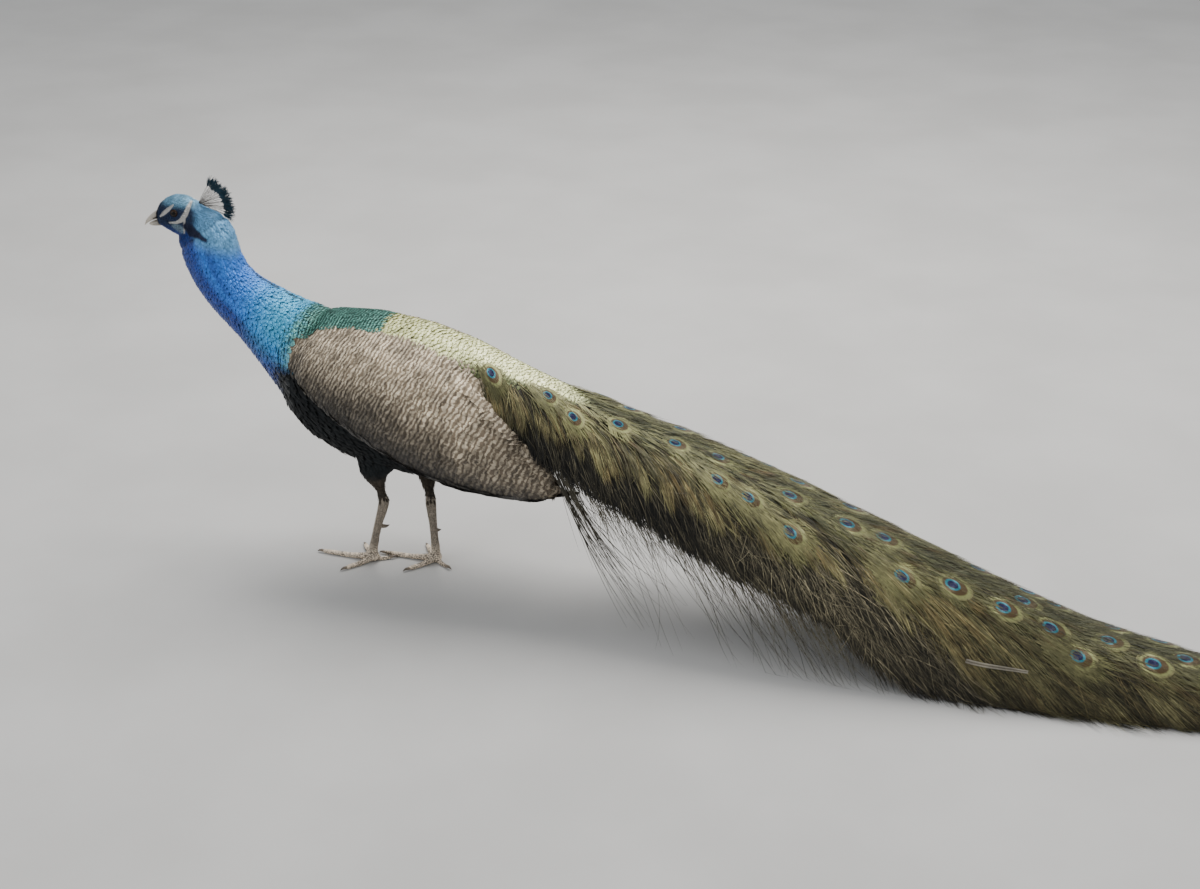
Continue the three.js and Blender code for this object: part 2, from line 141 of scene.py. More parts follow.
# Bare white skin and dark marks of the face, as (x, z) strokes seen from the side of the unturned head.
# The third number of each place is half the stroke's width there.
BROW = [(-370, 538, 0.6), (-363, 544, 2.2), (-356, 550, 2.3), (-348, 557, 0.5)]
CHEEK_CRESCENT = [
    (-322, 562, 0.8), (-325, 554, 2.4), (-329, 544, 2.9), (-336, 535, 2.5), (-344, 531, 1.5),
    (-355, 530, 0.7),
]
CHEEK_LINE = [(-331, 537, 1.0), (-332, 526, 0.8), (-334, 514, 0.4)]
JAW_PATCH = [(-328, 525, 4.5), (-321, 520, 6.0), (-308, 515, 3.2), (-297, 509, 1.2)]
EAR_PATCH = [(-347, 525, 2.5), (-338, 519, 4.5)]
NOSTRIL = [(-384, 531, 0.6), (-378, 533.5, 0.9)]

# The eyes on the left side of the train: where along the bird, how far from ridge (0) to hem (1), and how
# much of each is covered by looser feathers.
TRAIN_EYES = [
    (176, 0.43, 0.5), (260, 0.25, 0.5), (305, 0.34, 0.2), (367, 0.17, 0.1), (451, 0.10, 0.4),
    (512, 0.02, 0.6), (524, 0.28, 0.8), (572, 0.30, 1.3), (623, 0.08, 0.4), (640, 0.42, 1.6),
    (709, 0.09, 0.3), (761, 0.05, 0.9), (800, 0.34, 1.6), (868, 0.21, 0.2), (940, 0.21, 0.3),
    (962, 0.02, 0.9), (1007, 0.21, 0.5), (1050, 0.40, 1.6), (1086, 0.10, 0.6), (1150, 0.26, 0.2),
    (1190, 0.03, 0.5), (1228, 0.20, 0.6), (1290, 0.10, 0.3), (1345, 0.25, 0.4), (1392, 0.02, 0.2),
]


# ---------------------------------------------------------------- small mathematics

def at(x, y, z):
    """A place in the bird's frame, in millimetres, as metres in the row frame."""
    return (np.array([x, y, z], float) + STANCE) * MM


def bird(points):
    """Row frame metres as millimetres in the bird's frame."""
    return np.asarray(points) / MM - STANCE


def smooth(low, high, value):
    """Rises softly from 0 at low to 1 at high."""
    t = np.clip((np.asarray(value, float) - low) / (high - low), 0, 1)
    return t * t * (3 - 2 * t)


def mix(a, b, share):
    share = np.asarray(share, float)
    return np.asarray(a, float) * (1 - share) + np.asarray(b, float) * share


def unit(vectors):
    return vectors / np.maximum(np.linalg.norm(vectors, axis=-1, keepdims=True), 1e-12)


def level(line, x):
    """The height of a line of points at x."""
    return np.interp(x, *np.transpose(line))


def along(line, x):
    """The height of a line of points at x, with its corners rounded off over a stretch of it."""
    softness = 70.0
    xs, zs = np.array(line, float).T
    grid = np.arange(xs[0] - softness, xs[-1] + softness, 4.0)
    values = np.interp(grid, xs, zs)
    width = max(3, int(softness / 4) // 2 * 2 + 1)
    kernel = np.hanning(width + 2)[1:-1]
    padded = np.pad(values, width // 2, mode="reflect", reflect_type="odd")
    values = np.convolve(padded, kernel / kernel.sum(), mode="valid")
    return np.interp(x, grid, values)


def head_local(points):
    """Bird millimetres with the head's turn undone."""
    p = bird(points)
    c, s = math.cos(HEAD_TURN), math.sin(HEAD_TURN)
    x = p[:, 0] - HEAD_PIVOT
    return np.c_[x * c + p[:, 1] * s + HEAD_PIVOT, -x * s + p[:, 1] * c, p[:, 2]]


def head_turned(vectors):
    c, s = math.cos(HEAD_TURN), math.sin(HEAD_TURN)
    v = np.atleast_2d(vectors).astype(float)
    return np.c_[v[:, 0] * c - v[:, 1] * s, v[:, 0] * s + v[:, 1] * c, v[:, 2]]


def stroke(points, line, soft=1.2):
    """1 on a swelling stroke drawn along a line in the x, z plane of the head, fading to 0 beside it."""
    best = np.full(len(points), 1e9)
    for (ax, az, start), (bx, bz, end) in zip(line[:-1], line[1:]):
        d = np.array([bx - ax, bz - az], float)
        rel = points[:, [0, 2]] - (ax, az)
        t = np.clip(rel @ d / (d @ d), 0, 1)
        best = np.minimum(best, np.linalg.norm(rel - t[:, None] * d, axis=1) - mix(start, end, t))
    return 1 - smooth(0, soft, best)


def lie_direction(points):
    """The way that feathers lie at each point: the local direction of the body's line."""
    p = bird(points)
    line = np.array(LIE, float)
    middle = (line[:-1] + line[1:]) / 2
    step = unit(line[1:] - line[:-1])
    gap = np.linalg.norm(p[:, None, [0, 2]] - middle[None], axis=2)
    weight = np.exp(-((gap - gap.min(1, keepdims=True)) / 28.0))
    weight /= weight.sum(1, keepdims=True)
    flow = weight @ step
    return unit(np.c_[flow[:, 0], np.zeros(len(p)), flow[:, 1]])


# ---------------------------------------------------------------- objects and surfaces

def deselect():
    bpy.ops.object.select_all(action="DESELECT")


def make_active(obj):
    deselect()
    obj.select_set(True)
    bpy.context.view_layer.objects.active = obj


def apply_modifiers(obj):
    make_active(obj)
    for modifier in list(obj.modifiers):
        bpy.ops.object.modifier_apply(modifier=modifier.name)


def edit(obj, work):
    """Runs work() in edit mode with the whole mesh selected."""
    make_active(obj)
    bpy.ops.object.mode_set(mode="EDIT")
    bpy.ops.mesh.select_all(action="SELECT")
    work()
    bpy.ops.object.mode_set(mode="OBJECT")


def copy_of(name, nodes, swell=0.0):
    """One new object holding copies of CAD nodes, with their loose triangles merged.

    A little swelling closes the thin gaps between neighbouring nodes."""
    copies = []
    for node in nodes:
        piece = bpy.data.objects.new(name, frame["nodes"][node].data.copy())
        bpy.context.scene.collection.objects.link(piece)
        piece.data.materials.clear()
        copies.append(piece)
    deselect()
    for piece in copies:
        piece.select_set(True)
    bpy.context.view_layer.objects.active = copies[0]
    if len(copies) > 1:
        bpy.ops.object.join()
    piece = bpy.context.view_layer.objects.active
    piece.name = name
    edit(piece, lambda: bpy.ops.mesh.remove_doubles(threshold=1e-6))
    if swell:
        move_vertices(piece, vertices(piece) + vertex_normals(piece) * swell)
    return piece


def remesh(obj, voxel, rounds, factor=0.5):
    modifier = obj.modifiers.new("remesh", "REMESH")
    modifier.mode = "VOXEL"
    modifier.voxel_size = voxel
    modifier.use_smooth_shade = True
    smoothing = obj.modifiers.new("smooth", "SMOOTH")
    smoothing.factor = factor
    smoothing.iterations = rounds
    apply_modifiers(obj)


def read(items, key, width, kind=float):
    """One property of many items of a mesh, in rows of width numbers."""
    values = np.empty(len(items) * width, kind)
    items.foreach_get(key, values)
    return values.reshape(-1, width)


def vertices(obj):
    return read(obj.data.vertices, "co", 3)


def vertex_normals(obj):
    return read(obj.data.vertex_normals, "vector", 3)


def move_vertices(obj, co):
    obj.data.vertices.foreach_set("co", np.ascontiguousarray(co, float).ravel())
    obj.data.update()


def sink(obj, depth, rounds=2):
    """Moves the surface inwards by depth, in metres for all or for each vertex, in a few even steps."""
    step = np.reshape(depth, (-1, 1)) / rounds
    for _ in range(rounds):
        move_vertices(obj, vertices(obj) - vertex_normals(obj) * step)


def pinch(obj, wide, narrow):
    """Narrows a shell of the neck towards the neck's middle, from the height wide to the height narrow."""
    co = vertices(obj)
    height = bird(co)[:, 2]
    line = np.array(LIE, float)[2:8]
    middle = (np.interp(height, line[::-1, 1], line[::-1, 0]) + STANCE[0]) * MM
    less = 1 - 0.3 * smooth(wide, narrow, height)
    move_vertices(obj, np.c_[middle + (co[:, 0] - middle) * less, co[:, 1] * less, co[:, 2]])


def even_out(obj, values, rounds):
    """Averages a value per vertex with its neighbours."""
    a, b = read(obj.data.edges, "vertices", 2, int).T
    count = np.bincount(np.r_[a, b], minlength=len(values))
    for _ in range(rounds):
        total = np.bincount(np.r_[a, b], weights=np.r_[values[b], values[a]], minlength=len(values))
        values = (values + total / np.maximum(count, 1)) / 2
    return values


class Surface:
    """A triangle surface that answers where its nearest point is, which way it faces and its unwrap."""

    def __init__(self, obj):
        mesh = obj.data
        mesh.calc_loop_triangles()
        self.co = vertices(obj)
        self.normals = vertex_normals(obj)
        self.tri = read(mesh.loop_triangles, "vertices", 3, int)
        self.uv = None
        if "OFBake" in mesh.uv_layers:
            loops = read(mesh.loop_triangles, "loops", 3, int)
            self.uv = read(mesh.uv_layers["OFBake"].data, "uv", 2)[loops]
        self.tree = BVHTree.FromPolygons(self.co.tolist(), self.tri.tolist())
        corners = self.co[self.tri]
        cross = np.cross(corners[:, 1] - corners[:, 0], corners[:, 2] - corners[:, 0])
        self.area = np.linalg.norm(cross, axis=1) / 2
        self.centre = corners.mean(1)

    def nearest(self, points):
        """The nearest surface points, their smooth normals, their triangles and their weights."""
        find = self.tree.find_nearest
        found = [find(p) for p in np.asarray(points, float).tolist()]
        where = np.array([f[0] for f in found], float)
        index = np.array([f[2] for f in found], int)
        a, b, c = (self.co[self.tri[index, k]] for k in range(3))
        u, v, w = b - a, c - a, where - a
        uu, uv, vv = (u * u).sum(1), (u * v).sum(1), (v * v).sum(1)
        wu, wv = (w * u).sum(1), (w * v).sum(1)
        low = np.maximum(uu * vv - uv * uv, 1e-30)
        s, t = (vv * wu - uv * wv) / low, (uu * wv - uv * wu) / low
        share = np.clip(np.c_[1 - s - t, s, t], 0, 1)
        share /= share.sum(1, keepdims=True)
        normal = unit((self.normals[self.tri[index]] * share[..., None]).sum(1))
        return where, normal, index, share

    def unwrap(self, points):
        _, _, index, share = self.nearest(points)
        return (self.uv[index] * share[..., None]).sum(1)

    def scatter(self, spacing, wanted, rng, effort=5):
        """Even but irregular places on the triangles where wanted is true, spacing apart."""
        keep = np.flatnonzero(wanted)
        area = self.area[keep]
        tries = int(area.sum() / spacing**2 * effort) + 20
        pick = keep[rng.choice(len(keep), tries, p=area / area.sum())]
        r, s = np.sqrt(rng.random(tries)), rng.random(tries)
        weight = np.c_[1 - r, r * (1 - s), r * s]
        points = (self.co[self.tri[pick]] * weight[..., None]).sum(1)
        tree = KDTree(tries)
        for i, p in enumerate(points.tolist()):
            tree.insert(p, i)
        tree.balance()
        taken = np.zeros(tries, bool)
        chosen = []
        for i, p in enumerate(points.tolist()):
            if taken[i]:
                continue
            chosen.append(i)
            for _, j, _ in tree.find_range(p, spacing):
                taken[j] = True
        return points[chosen]


def guide(nodes, voxel, rounds, depth):
    """A smooth surface over several nodes, for feathers that run across their joints; no piece is kept."""
    piece = copy_of("guide", nodes, 0.0006)
    remesh(piece, voxel, rounds)
    sink(piece, depth * MM)
    found = Surface(piece)
    bpy.data.objects.remove(piece)
    return found


@functools.cache
def surface(name):
    """The Surface of a finished piece, made once."""
    return Surface(bpy.data.objects[name])


def eye_place(side):
    """The centre and the radius of an eye."""
    low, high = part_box(f"eye_{side}")
    return (low + high) / 2, (high.z - low.z) / 2


class NodeFinder:
    """Tells which CAD node is nearest to each point."""

    def __init__(self, names):
        self.names = names
        points, faces, self.owner = [], [], []
        for number, name in enumerate(names):
            mesh = frame["nodes"][name].data
            mesh.calc_loop_triangles()
            own = read(mesh.loop_triangles, "vertices", 3, int) + len(points)
            points += read(mesh.vertices, "co", 3).tolist()
            faces += own.tolist()
            self.owner += [number] * len(own)
        self.tree = BVHTree.FromPolygons(points, faces)

    def __call__(self, points):
        found = [self.tree.find_nearest(p)[2] for p in np.asarray(points, float).tolist()]
        return np.array([self.owner[i] for i in found])

    def kinds(self, points):
        """Names without the side, such as wing for wing_left."""
        short = np.array([n.replace("_left", "").replace("_right", "") for n in self.names])
        return short[self(points)]


@functools.cache
def body_plan():
    """The skin that the coat stands on, and the kind of node and the centre of each of its triangles."""
    ground = surface("skin")
    return ground, NodeFinder(FLESH).kinds(ground.centre), bird(ground.centre)


def size(name):
    """One of the lengths that a user may change, in millimetres."""
    return getattr(bpy.context.scene.peacock_sizes, name) / MM


# ---------------------------------------------------------------- coats

class Coat:
    """Gathers rows of faces for many feathers or scales and makes one mesh of them."""

    def __init__(self, ground):
        """ground is the piece whose unwrap the feathers take their patches from."""
        self.ground = ground
        self.parts = []
        self.count = 0

    def add(self, points, vane, tint, roots=None, mark=None, patch=PATCH):
        """points is (feathers, rows, columns, 3); vane is where each point is in its feather, from 0 to 1;
        tint is one colour, or one for each feather, or one for each point."""
        number, rows, columns = grid = points.shape[:3]
        if number == 0:
            return
        if np.ndim(tint) == 2:
            tint = tint[:, None, None]
        vane = np.broadcast_to(vane, (*grid, 2))
        tint = np.broadcast_to(tint, (*grid, 3))
        mark = np.broadcast_to(0.0 if mark is None else mark, grid)
        index = np.arange(number * rows * columns).reshape(grid) + self.count
        quads = np.stack(
            [index[:, :-1, :-1], index[:, :-1, 1:], index[:, 1:, 1:], index[:, 1:, :-1]], -1)
        root = self.ground.unwrap(points[:, 0].mean(1) if roots is None else roots)
        bake = root[:, None, None] + (vane - 0.5) * patch
        self.parts.append((points.reshape(-1, 3), quads.reshape(-1, 4), vane.reshape(-1, 2),
                           bake.reshape(-1, 2), tint.reshape(-1, 3), mark.reshape(-1)))
        self.count += number * rows * columns

    def add_ribbons(self, spine, facing, width, taper, tint):
        points, vane = ribbons(spine, facing, width, taper)
        self.add(points, vane, tint, roots=spine[:, 0])

    def finish(self, name, material, slot):
        co, faces, vane, bake, tint, mark = (np.concatenate(rows) for rows in zip(*self.parts))
        mesh = bpy.data.meshes.new(name)
        mesh.vertices.add(len(co))
        mesh.vertices.foreach_set("co", co.ravel())
        mesh.loops.add(faces.size)
        mesh.loops.foreach_set("vertex_index", faces.ravel())
        mesh.polygons.add(len(faces))
        mesh.polygons.foreach_set("loop_start", np.arange(len(faces)) * 4)
        mesh.update(calc_edges=True)
        mesh.shade_smooth()
        for layer, values in (("OFBake", bake), ("vane", vane)):
            mesh.uv_layers.new(name=layer).data.foreach_set("uv", values[faces.ravel()].ravel())
        mesh.attributes.new("mark", "FLOAT", "POINT").data.foreach_set("value", mark)
        obj = bpy.data.objects.new(name, mesh)
        bpy.context.scene.collection.objects.link(obj)
        set_tint(obj, tint)
        return dress(obj, material)


def dress(obj, material):
    """Gives a finished piece its material, and lets it ride with the bird."""
    obj.data.materials.clear()
    obj.data.materials.append(material)
    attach(obj, "root")
    return obj


def vane_grid(u, v):
    """Where each point of a feather is in it: across from 0 to 1 and along from 0 to 1."""
    return np.stack(np.meshgrid(u, v), -1)[None]


def lay_feathers(ground, roots, way, length, width, rise, rng, rows=4, columns=4, camber=0.12, blunt=0.5,
                 ragged=0.06, tuck=3.0):
    """Feathers laid on a surface: each starts at its root, follows the surface and rises to its tip.

    length, width and rise (start, end) are in millimetres, one for each feather or for all. Where a feather
    runs off an edge of the body it is shortened to end tuck past it. Returns points and vane places."""
    number = len(roots)
    length = np.broadcast_to(length, number).astype(float) * MM
    width = np.broadcast_to(width, number).astype(float) * MM
    reach = length.copy()
    for attempt in range(2):
        place, normal, _, _ = ground.nearest(roots)
        heading = way(place)
        spine, ups, ways = [], [], []
        off = np.full(number, -1)
        for row in range(rows + 1):
            heading = unit(heading - normal * (heading * normal).sum(1, keepdims=True))
            spine.append(place)
            ups.append(normal)
            ways.append(heading)
            step = place + heading * (reach / rows)[:, None]
            found, facing, _, _ = ground.nearest(step)
            away = np.linalg.norm(found - step, axis=1) > reach / rows
            left = away | ((facing * normal).sum(1) < 0.35) | (off >= 0)
            off = np.where(left & (off < 0), row, off)
            place = np.where(left[:, None], step, found)
            normal = np.where(left[:, None], normal, facing)
            heading = unit(heading * 0.6 + way(place) * 0.4)
        if attempt == 0:
            short = length * np.maximum(off, 0) / rows + np.broadcast_to(tuck, number) * MM
            reach = np.where((off >= 0) & (off < rows), np.minimum(short, length), length)
    spine, up, ahead = np.stack(spine, 1), np.stack(ups, 1), np.stack(ways, 1)
    across = np.cross(ahead, up)
    v = np.linspace(0, 1, rows + 1)
    u = np.linspace(-1, 1, columns + 1)
    swell = np.where(v < blunt, 0.45 + 0.55 * np.sin(v / blunt * math.pi / 2),
                     np.sqrt(np.maximum(1 - ((v - blunt) / (1.04 - blunt)) ** 2, 0)))
    narrower = (reach / length) ** 0.5
    half = swell[None, :] * width[:, None] / 2 * narrower[:, None]
    start, end = (np.broadcast_to(r, number).astype(float) * MM for r in rise)
    height = start[:, None] + (end - start)[:, None] * v[None] ** 0.8
    points = spine[:, :, None] + up[:, :, None] * height[:, :, None, None]
    points = points + across[:, :, None] * (u[None, None, :] * half[:, :, None])[..., None]
    points = points - up[:, :, None] * (camber * half[:, :, None] * 2 * u[None, None] ** 2)[..., None]
    fray = rng.uniform(-ragged, ragged, (number, rows + 1, columns + 1)) * (v**3)[None, :, None]
    fray = fray - 0.05 * (u**2)[None, None] * v[None, :, None]
    points = points + ahead[:, :, None] * (fray * reach[:, None, None])[..., None]
    return points, vane_grid((u + 1) / 2, v)


def ribbons(spine, facing, width, taper):
    """Thin strips along spines of points (strands, rows, 3), flat to facing, width in metres."""
    rows = spine.shape[1]
    forward = unit(np.gradient(spine, axis=1))
    across = unit(np.cross(forward, facing))
    t = np.linspace(0, 1, rows)
    half = np.broadcast_to(width, (len(spine), 1)) / 2 * (1 - (1 - taper) * t**2.5)[None]
    points = np.stack([spine - across * half[..., None], spine + across * half[..., None]], 2)
    return points, vane_grid([0.0, 1.0], t)


# ---------------------------------------------------------------- markings shared by skin and coat

def colour(name):
    return np.array(getattr(bpy.context.scene.peacock_colours, name))


def bare_face(local):
    """Where the face is bare white skin, from 0 to 1, for places in the unturned head."""
    side = smooth(3, 7, np.abs(local[:, 1]))
    return np.maximum.reduce([stroke(local, mark) for mark in (BROW, CHEEK_CRESCENT, CHEEK_LINE)]) * side


def tinged(tint, other, share):
    """One colour mixed with another by a share for each place; a colour may be a name."""
    tint, other = (colour(one) if isinstance(one, str) else one for one in (tint, other))
    return mix(tint, other, np.asarray(share)[..., None])


def plumage(points, kinds):
    """The colour of the coat at each point, before each feather's own variation."""
    x, y, z = bird(points).T
    line = np.array(LIE, float)
    behind = x - np.interp(z, line[2:9, 1][::-1], line[2:9, 0][::-1])
    # Round the neck the front is darker than the side: partly the darker blue of the throat, partly painted
    # shade where the neck turns from the light. A band of painted shade lies near the back of the upper neck.
    rear = smooth(mix(-24, -6, smooth(470, 360, z)), 34, behind)
    shade_band = np.exp(-((rear - 0.80) / 0.13) ** 2) * smooth(400, 450, z)
    blue = tinged("neck_front", "neck", smooth(0.05, 0.6, rear))
    blue = tinged(blue, "neck_front", 0.6 * shade_band)
    blue = tinged(blue, "neck_base", smooth(-245, -160, x) * smooth(320, 400, z))
    blue = tinged(blue, "dark", 1 - smooth(225, 330, z))
    neck = np.isin(kinds, ("neck_upper", "neck_lower", "head", "trunk"))
    tint = np.where(neck[:, None], blue, colour("dark"))
    trunk = kinds == "trunk"
    uneven = x + 6 * np.sin(y * 1.3 + z * 1.9)
    tint = tinged(tint, "mantle", trunk * smooth(-172, -122, uneven) * smooth(325, 350, z))
    tint = tinged(tint, "dark", trunk * smooth(-185, -155, uneven) * smooth(350, 325, z))
    # The skin under the back takes mostly the darker side colour, the painted shade of the back's sides.
    tint[trunk & (x > -10) & (z > 300)] = mix(colour("back"), colour("back_side_shade"), 0.8)
    for kind, name in (("wing", "wing"), ("flight_feathers", "wing"), ("thigh", "thigh"), ("shank", "leg"),
                       ("foot", "leg")):
        tint[kinds == kind] = colour(name)
    head = (kinds == "head") | ((kinds == "neck_upper") & (z > 478))
    if head.any():
        local = head_local(points[head])
        x, y, z = local.T
        # The crown and the nape are painted lighter than their blue: a painted highlight of the plumage's
        # sheen.
        face = tinged("face", "crown", smooth(549, 561, z + 0.10 * (x + 340)))
        face = tinged(face, "nape", smooth(-322, -308, x))
        face = tinged(face, "neck_front", smooth(530, 512, z) * smooth(-314, -330, x))
        face = tinged(face, "ear", 0.8 * stroke(local, EAR_PATCH, 5))
        face = tinged(face, "bare_skin", bare_face(local))
        face = tinged(face, tint[head], smooth(518, 488, z + 0.3 * (x + 318)))
        tint[head] = tinged(face, colour("neck_front") * 0.15, stroke(local, JAW_PATCH, 4))
    return tint


# ---------------------------------------------------------------- materials

class Shader:
    """A procedural material: a Principled surface and the nodes that feed it."""

    SOCKETS = {
        "metallic": "Metallic", "roughness": "Roughness", "specular": "Specular IOR Level",
        "sheen": "Sheen Weight", "coat": "Coat Weight", "coat_roughness": "Coat Roughness",
    }

    def __init__(self, name, **settings):
        self.material = bpy.data.materials.new(name)
        self.material.use_nodes = True
        self.tree = self.material.node_tree
        self.surface = self.tree.nodes["Principled BSDF"]
        for setting, value in settings.items():
            self.surface.inputs[self.SOCKETS[setting]].default_value = value

    def node(self, kind, inputs=None, **settings):
        made = self.tree.nodes.new(kind)
        for key, value in settings.items():
            setattr(made, key, value)
        for key, value in (inputs or {}).items():
            if isinstance(value, bpy.types.NodeSocket):
                self.tree.links.new(value, made.inputs[key])
            else:
                made.inputs[key].default_value = value
        return made

    def math(self, operation, a, b=0.0, c=0.0):
        return self.node("ShaderNodeMath", {0: a, 1: b, 2: c}, operation=operation).outputs[0]

    def times(self, a, b):
        return self.math("MULTIPLY", a, b)

    def times_plus(self, a, b, c):
        return self.math("MULTIPLY_ADD", a, b, c)

    def wave(self, phase):
        """A sine of phase, between 0 and 1."""
        return self.times_plus(self.math("SINE", phase), 0.5, 0.5)

    def blend(self, share, a, b, mode="MIX"):
        made = self.node("ShaderNodeMix", {0: share, 6: a, 7: b}, data_type="RGBA", blend_type=mode)
        return made.outputs[2]

    def tinted(self, tone, other):
        """Two colours multiplied."""
        return self.blend(1.0, tone, other, "MULTIPLY")

    def shaded(self, tone, light):
        """A colour times a brightness."""
        grey = self.node("ShaderNodeCombineColor", {0: light, 1: light, 2: light})
        return self.tinted(tone, grey.outputs[0])

    def tint(self):
        return self.node("ShaderNodeAttribute", attribute_name="tint").outputs["Color"]

    def mark(self):
        return self.node("ShaderNodeAttribute", attribute_name="mark").outputs["Fac"]

    def vane(self):
        """Where a point is in its feather: across it and along it, both from 0 to 1."""
        uv = self.node("ShaderNodeUVMap", uv_map="vane").outputs[0]
        split = self.node("ShaderNodeSeparateXYZ", {0: uv})
        return split.outputs[0], split.outputs[1]

    def off_shaft(self, u):
        return self.math("ABSOLUTE", self.math("SUBTRACT", u, 0.5))

    def place(self):
        return self.node("ShaderNodeTexCoord").outputs["Object"]

    def noise(self, scale, detail=3.0):
        inputs = {"Vector": self.place(), "Scale": scale, "Detail": detail}
        return self.node("ShaderNodeTexNoise", inputs).outputs["Fac"]

    def step(self, low, high, value, to_low=0.0, to_high=1.0):
        """Goes softly from to_low to to_high as value goes from low to high."""
        inputs = {0: value, 1: low, 2: high, 3: to_low, 4: to_high}
        return self.node("ShaderNodeMapRange", inputs, interpolation_type="SMOOTHSTEP").outputs[0]

    def use(self, socket, value):
        self.tree.links.new(value, self.surface.inputs[socket])

    def bump(self, height, distance, strength):
        made = self.node("ShaderNodeBump", {"Height": height, "Distance": distance, "Strength": strength})
        self.use("Normal", made.outputs[0])


def rgba(name):
    return (*colour(name).tolist(), 1.0)


def barb_stripes(shader, count):
    """Fine slanting barbs on both sides of a feather's shaft, from 0 to 1, the distance off the shaft and
    the way along it."""
    u, v = shader.vane()
    aside = shader.off_shaft(u)
    slant = shader.math("SUBTRACT", v, shader.times(aside, 0.55))
    return shader.wave(shader.times(slant, count * 2 * math.pi)), aside, v


def vane_material(name, barbs, shaft=0.4, rim=None, glow=1.0, depth=0.35, root_dark=0.45, lines=False,
                  dull=False, **settings):
    """Feathers with a shaft, fine barbs and darker roots, partly the feathers' duller bases and partly
    painted shade under the feathers that overlap them; glow above 1 lifts the tips as a painted highlight.
    rim adds a dark edge, lines adds bars from mark, and dull takes the gloss away where mark is 1."""
    shader = Shader(name, **settings)
    stripes, aside, v = barb_stripes(shader, barbs)
    mottle = shader.step(0.3, 0.7, shader.noise(160), 0.78, 1.18)
    light = shader.times(shader.times_plus(stripes, depth, 1 - depth * 0.6), mottle)
    # Painted shade at the roots, and a painted highlight at the tips where glow is above 1.
    light = shader.times(light, shader.step(0.0, 0.7, v, root_dark, glow))
    tone = shader.shaded(shader.tint(), light)
    shaft_line = shader.step(0.02, 0.05, aside, 1.0, 0.0)
    tone = shader.blend(shader.times(shaft_line, shaft), tone, (0.02, 0.02, 0.02, 1))
    if lines:
        wave = shader.wave(shader.times_plus(shader.noise(90, 2.0), 4.0, shader.mark()))
        tone = shader.shaded(tone, shader.step(0.15, 0.85, wave, 0.35, 1.30))
    if rim is not None:
        edge = shader.math("MAXIMUM", shader.times(aside, 2.0), v)
        around = shader.step(rim, rim + 0.14, edge)
        tone = shader.blend(around, tone, shader.tinted(tone, (0.16, 0.17, 0.14, 1)))
    if dull:
        mark = shader.mark()
        shader.use("Roughness", shader.step(0.0, 1.0, mark, settings["roughness"], 0.8))
        shader.use("Metallic", shader.step(0.0, 1.0, mark, settings["metallic"], 0.0))
    shader.use("Base Color", tone)
    shader.bump(stripes, 0.0004, 0.6)
    return shader.material


def barred_material(name):
    """Wing feathers: pale buff with wavy dark bars that run on from feather to feather."""
    shader = Shader(name, roughness=0.60, specular=0.35, sheen=0.12)
    stripes, aside, v = barb_stripes(shader, 22)
    broad = shader.times(shader.noise(70, 2.0), 9.5)
    phase = shader.times_plus(shader.noise(210, 2.0), 5.5, broad)
    bars = shader.step(0.25, 0.80, shader.wave(shader.math("ADD", phase, shader.mark())))
    bars = shader.times(bars, shader.step(0.35, 0.60, shader.noise(95, 1.0), 0.45, 1.0))
    light = shader.times_plus(stripes, 0.22, 0.86)
    patchy = shader.step(0.25, 0.75, shader.noise(30), 0.72, 1.22)
    # Each feather is darker at its root, partly its duller base and partly painted shade under the feather
    # that overlaps it, and darker at its very tip.
    for factor in (shader.step(0.0, 0.45, v, 0.55, 1.0), patchy, shader.step(0.90, 1.0, v, 1.0, 0.55)):
        light = shader.times(light, factor)
    pale = shader.shaded(shader.tint(), light)
    tone = shader.blend(bars, shader.tinted(pale, rgba("bar")), pale)
    tone = shader.blend(shader.step(0.015, 0.04, aside, 0.4, 0.0), tone, (0.03, 0.02, 0.015, 1))
    shader.use("Base Color", tone)
    shader.bump(shader.times_plus(bars, 0.9, stripes), 0.0009, 0.8)
    return shader.material


def barb_material(name, metallic=0.25, roughness=0.5):
    """Loose barbs of the train: each strand keeps its own tint, with finer barbules across it."""
    shader = Shader(name, metallic=metallic, roughness=roughness, specular=0.4, sheen=0.1)
    u, v = shader.vane()
    fine = shader.math("SINE", shader.times(v, 260.0))
    light = shader.times_plus(fine, 0.12, shader.step(0.0, 0.5, shader.off_shaft(u), 0.85, 1.15))
    light = shader.times(light, shader.step(0.3, 0.7, shader.noise(60), 0.75, 1.2))
    shader.use("Base Color", shader.shaded(shader.tint(), light))
    return shader.material


def eyespot_material():
    """The eye of a train feather: violet heart, turquoise, bronze, and rings of gold, green and copper."""
    shader = Shader("eyespot", metallic=0.45, roughness=0.34, specular=0.5)
    u, v = shader.vane()
    x, y = (shader.times_plus(value, 2.0, -1.0) for value in (u, v))
    wobble = shader.times_plus(shader.noise(300, 2.0), 0.06, -0.03)

    def ring_distance(shift, squash):
        dy = shader.times(shader.math("SUBTRACT", y, shift), squash)
        square = shader.times_plus(x, x, shader.times(dy, dy))
        return shader.math("ADD", shader.math("SQRT", square), wobble)

    whole = ring_distance(0.0, 1.0)
    inner = ring_distance(-0.12, 1.05)
    notch = shader.step(0.12, 0.2, ring_distance(-0.52, 1.2))
    tone = rgba("eyespot_gold")
    for share, name in (
            (shader.step(0.80, 0.98, whole), "barb_side"),
            (shader.step(0.62, 0.74, whole, 1.0, 0.0), "eyespot_bronze"),
            (shader.step(0.40, 0.47, inner, 1.0, 0.0), "eyespot_blue"),
            (shader.times(shader.step(0.28, 0.33, inner, 1.0, 0.0), notch), "eyespot_heart")):
        tone = shader.blend(share, tone, rgba(name))
    rays = shader.math("SINE", shader.times(shader.math("ARCTAN2", y, x), 70.0))
    shader.use("Base Color", shader.shaded(tone, shader.times_plus(rays, 0.12, 0.95)))
    shader.bump(rays, 0.0003, 0.4)
    return shader.material


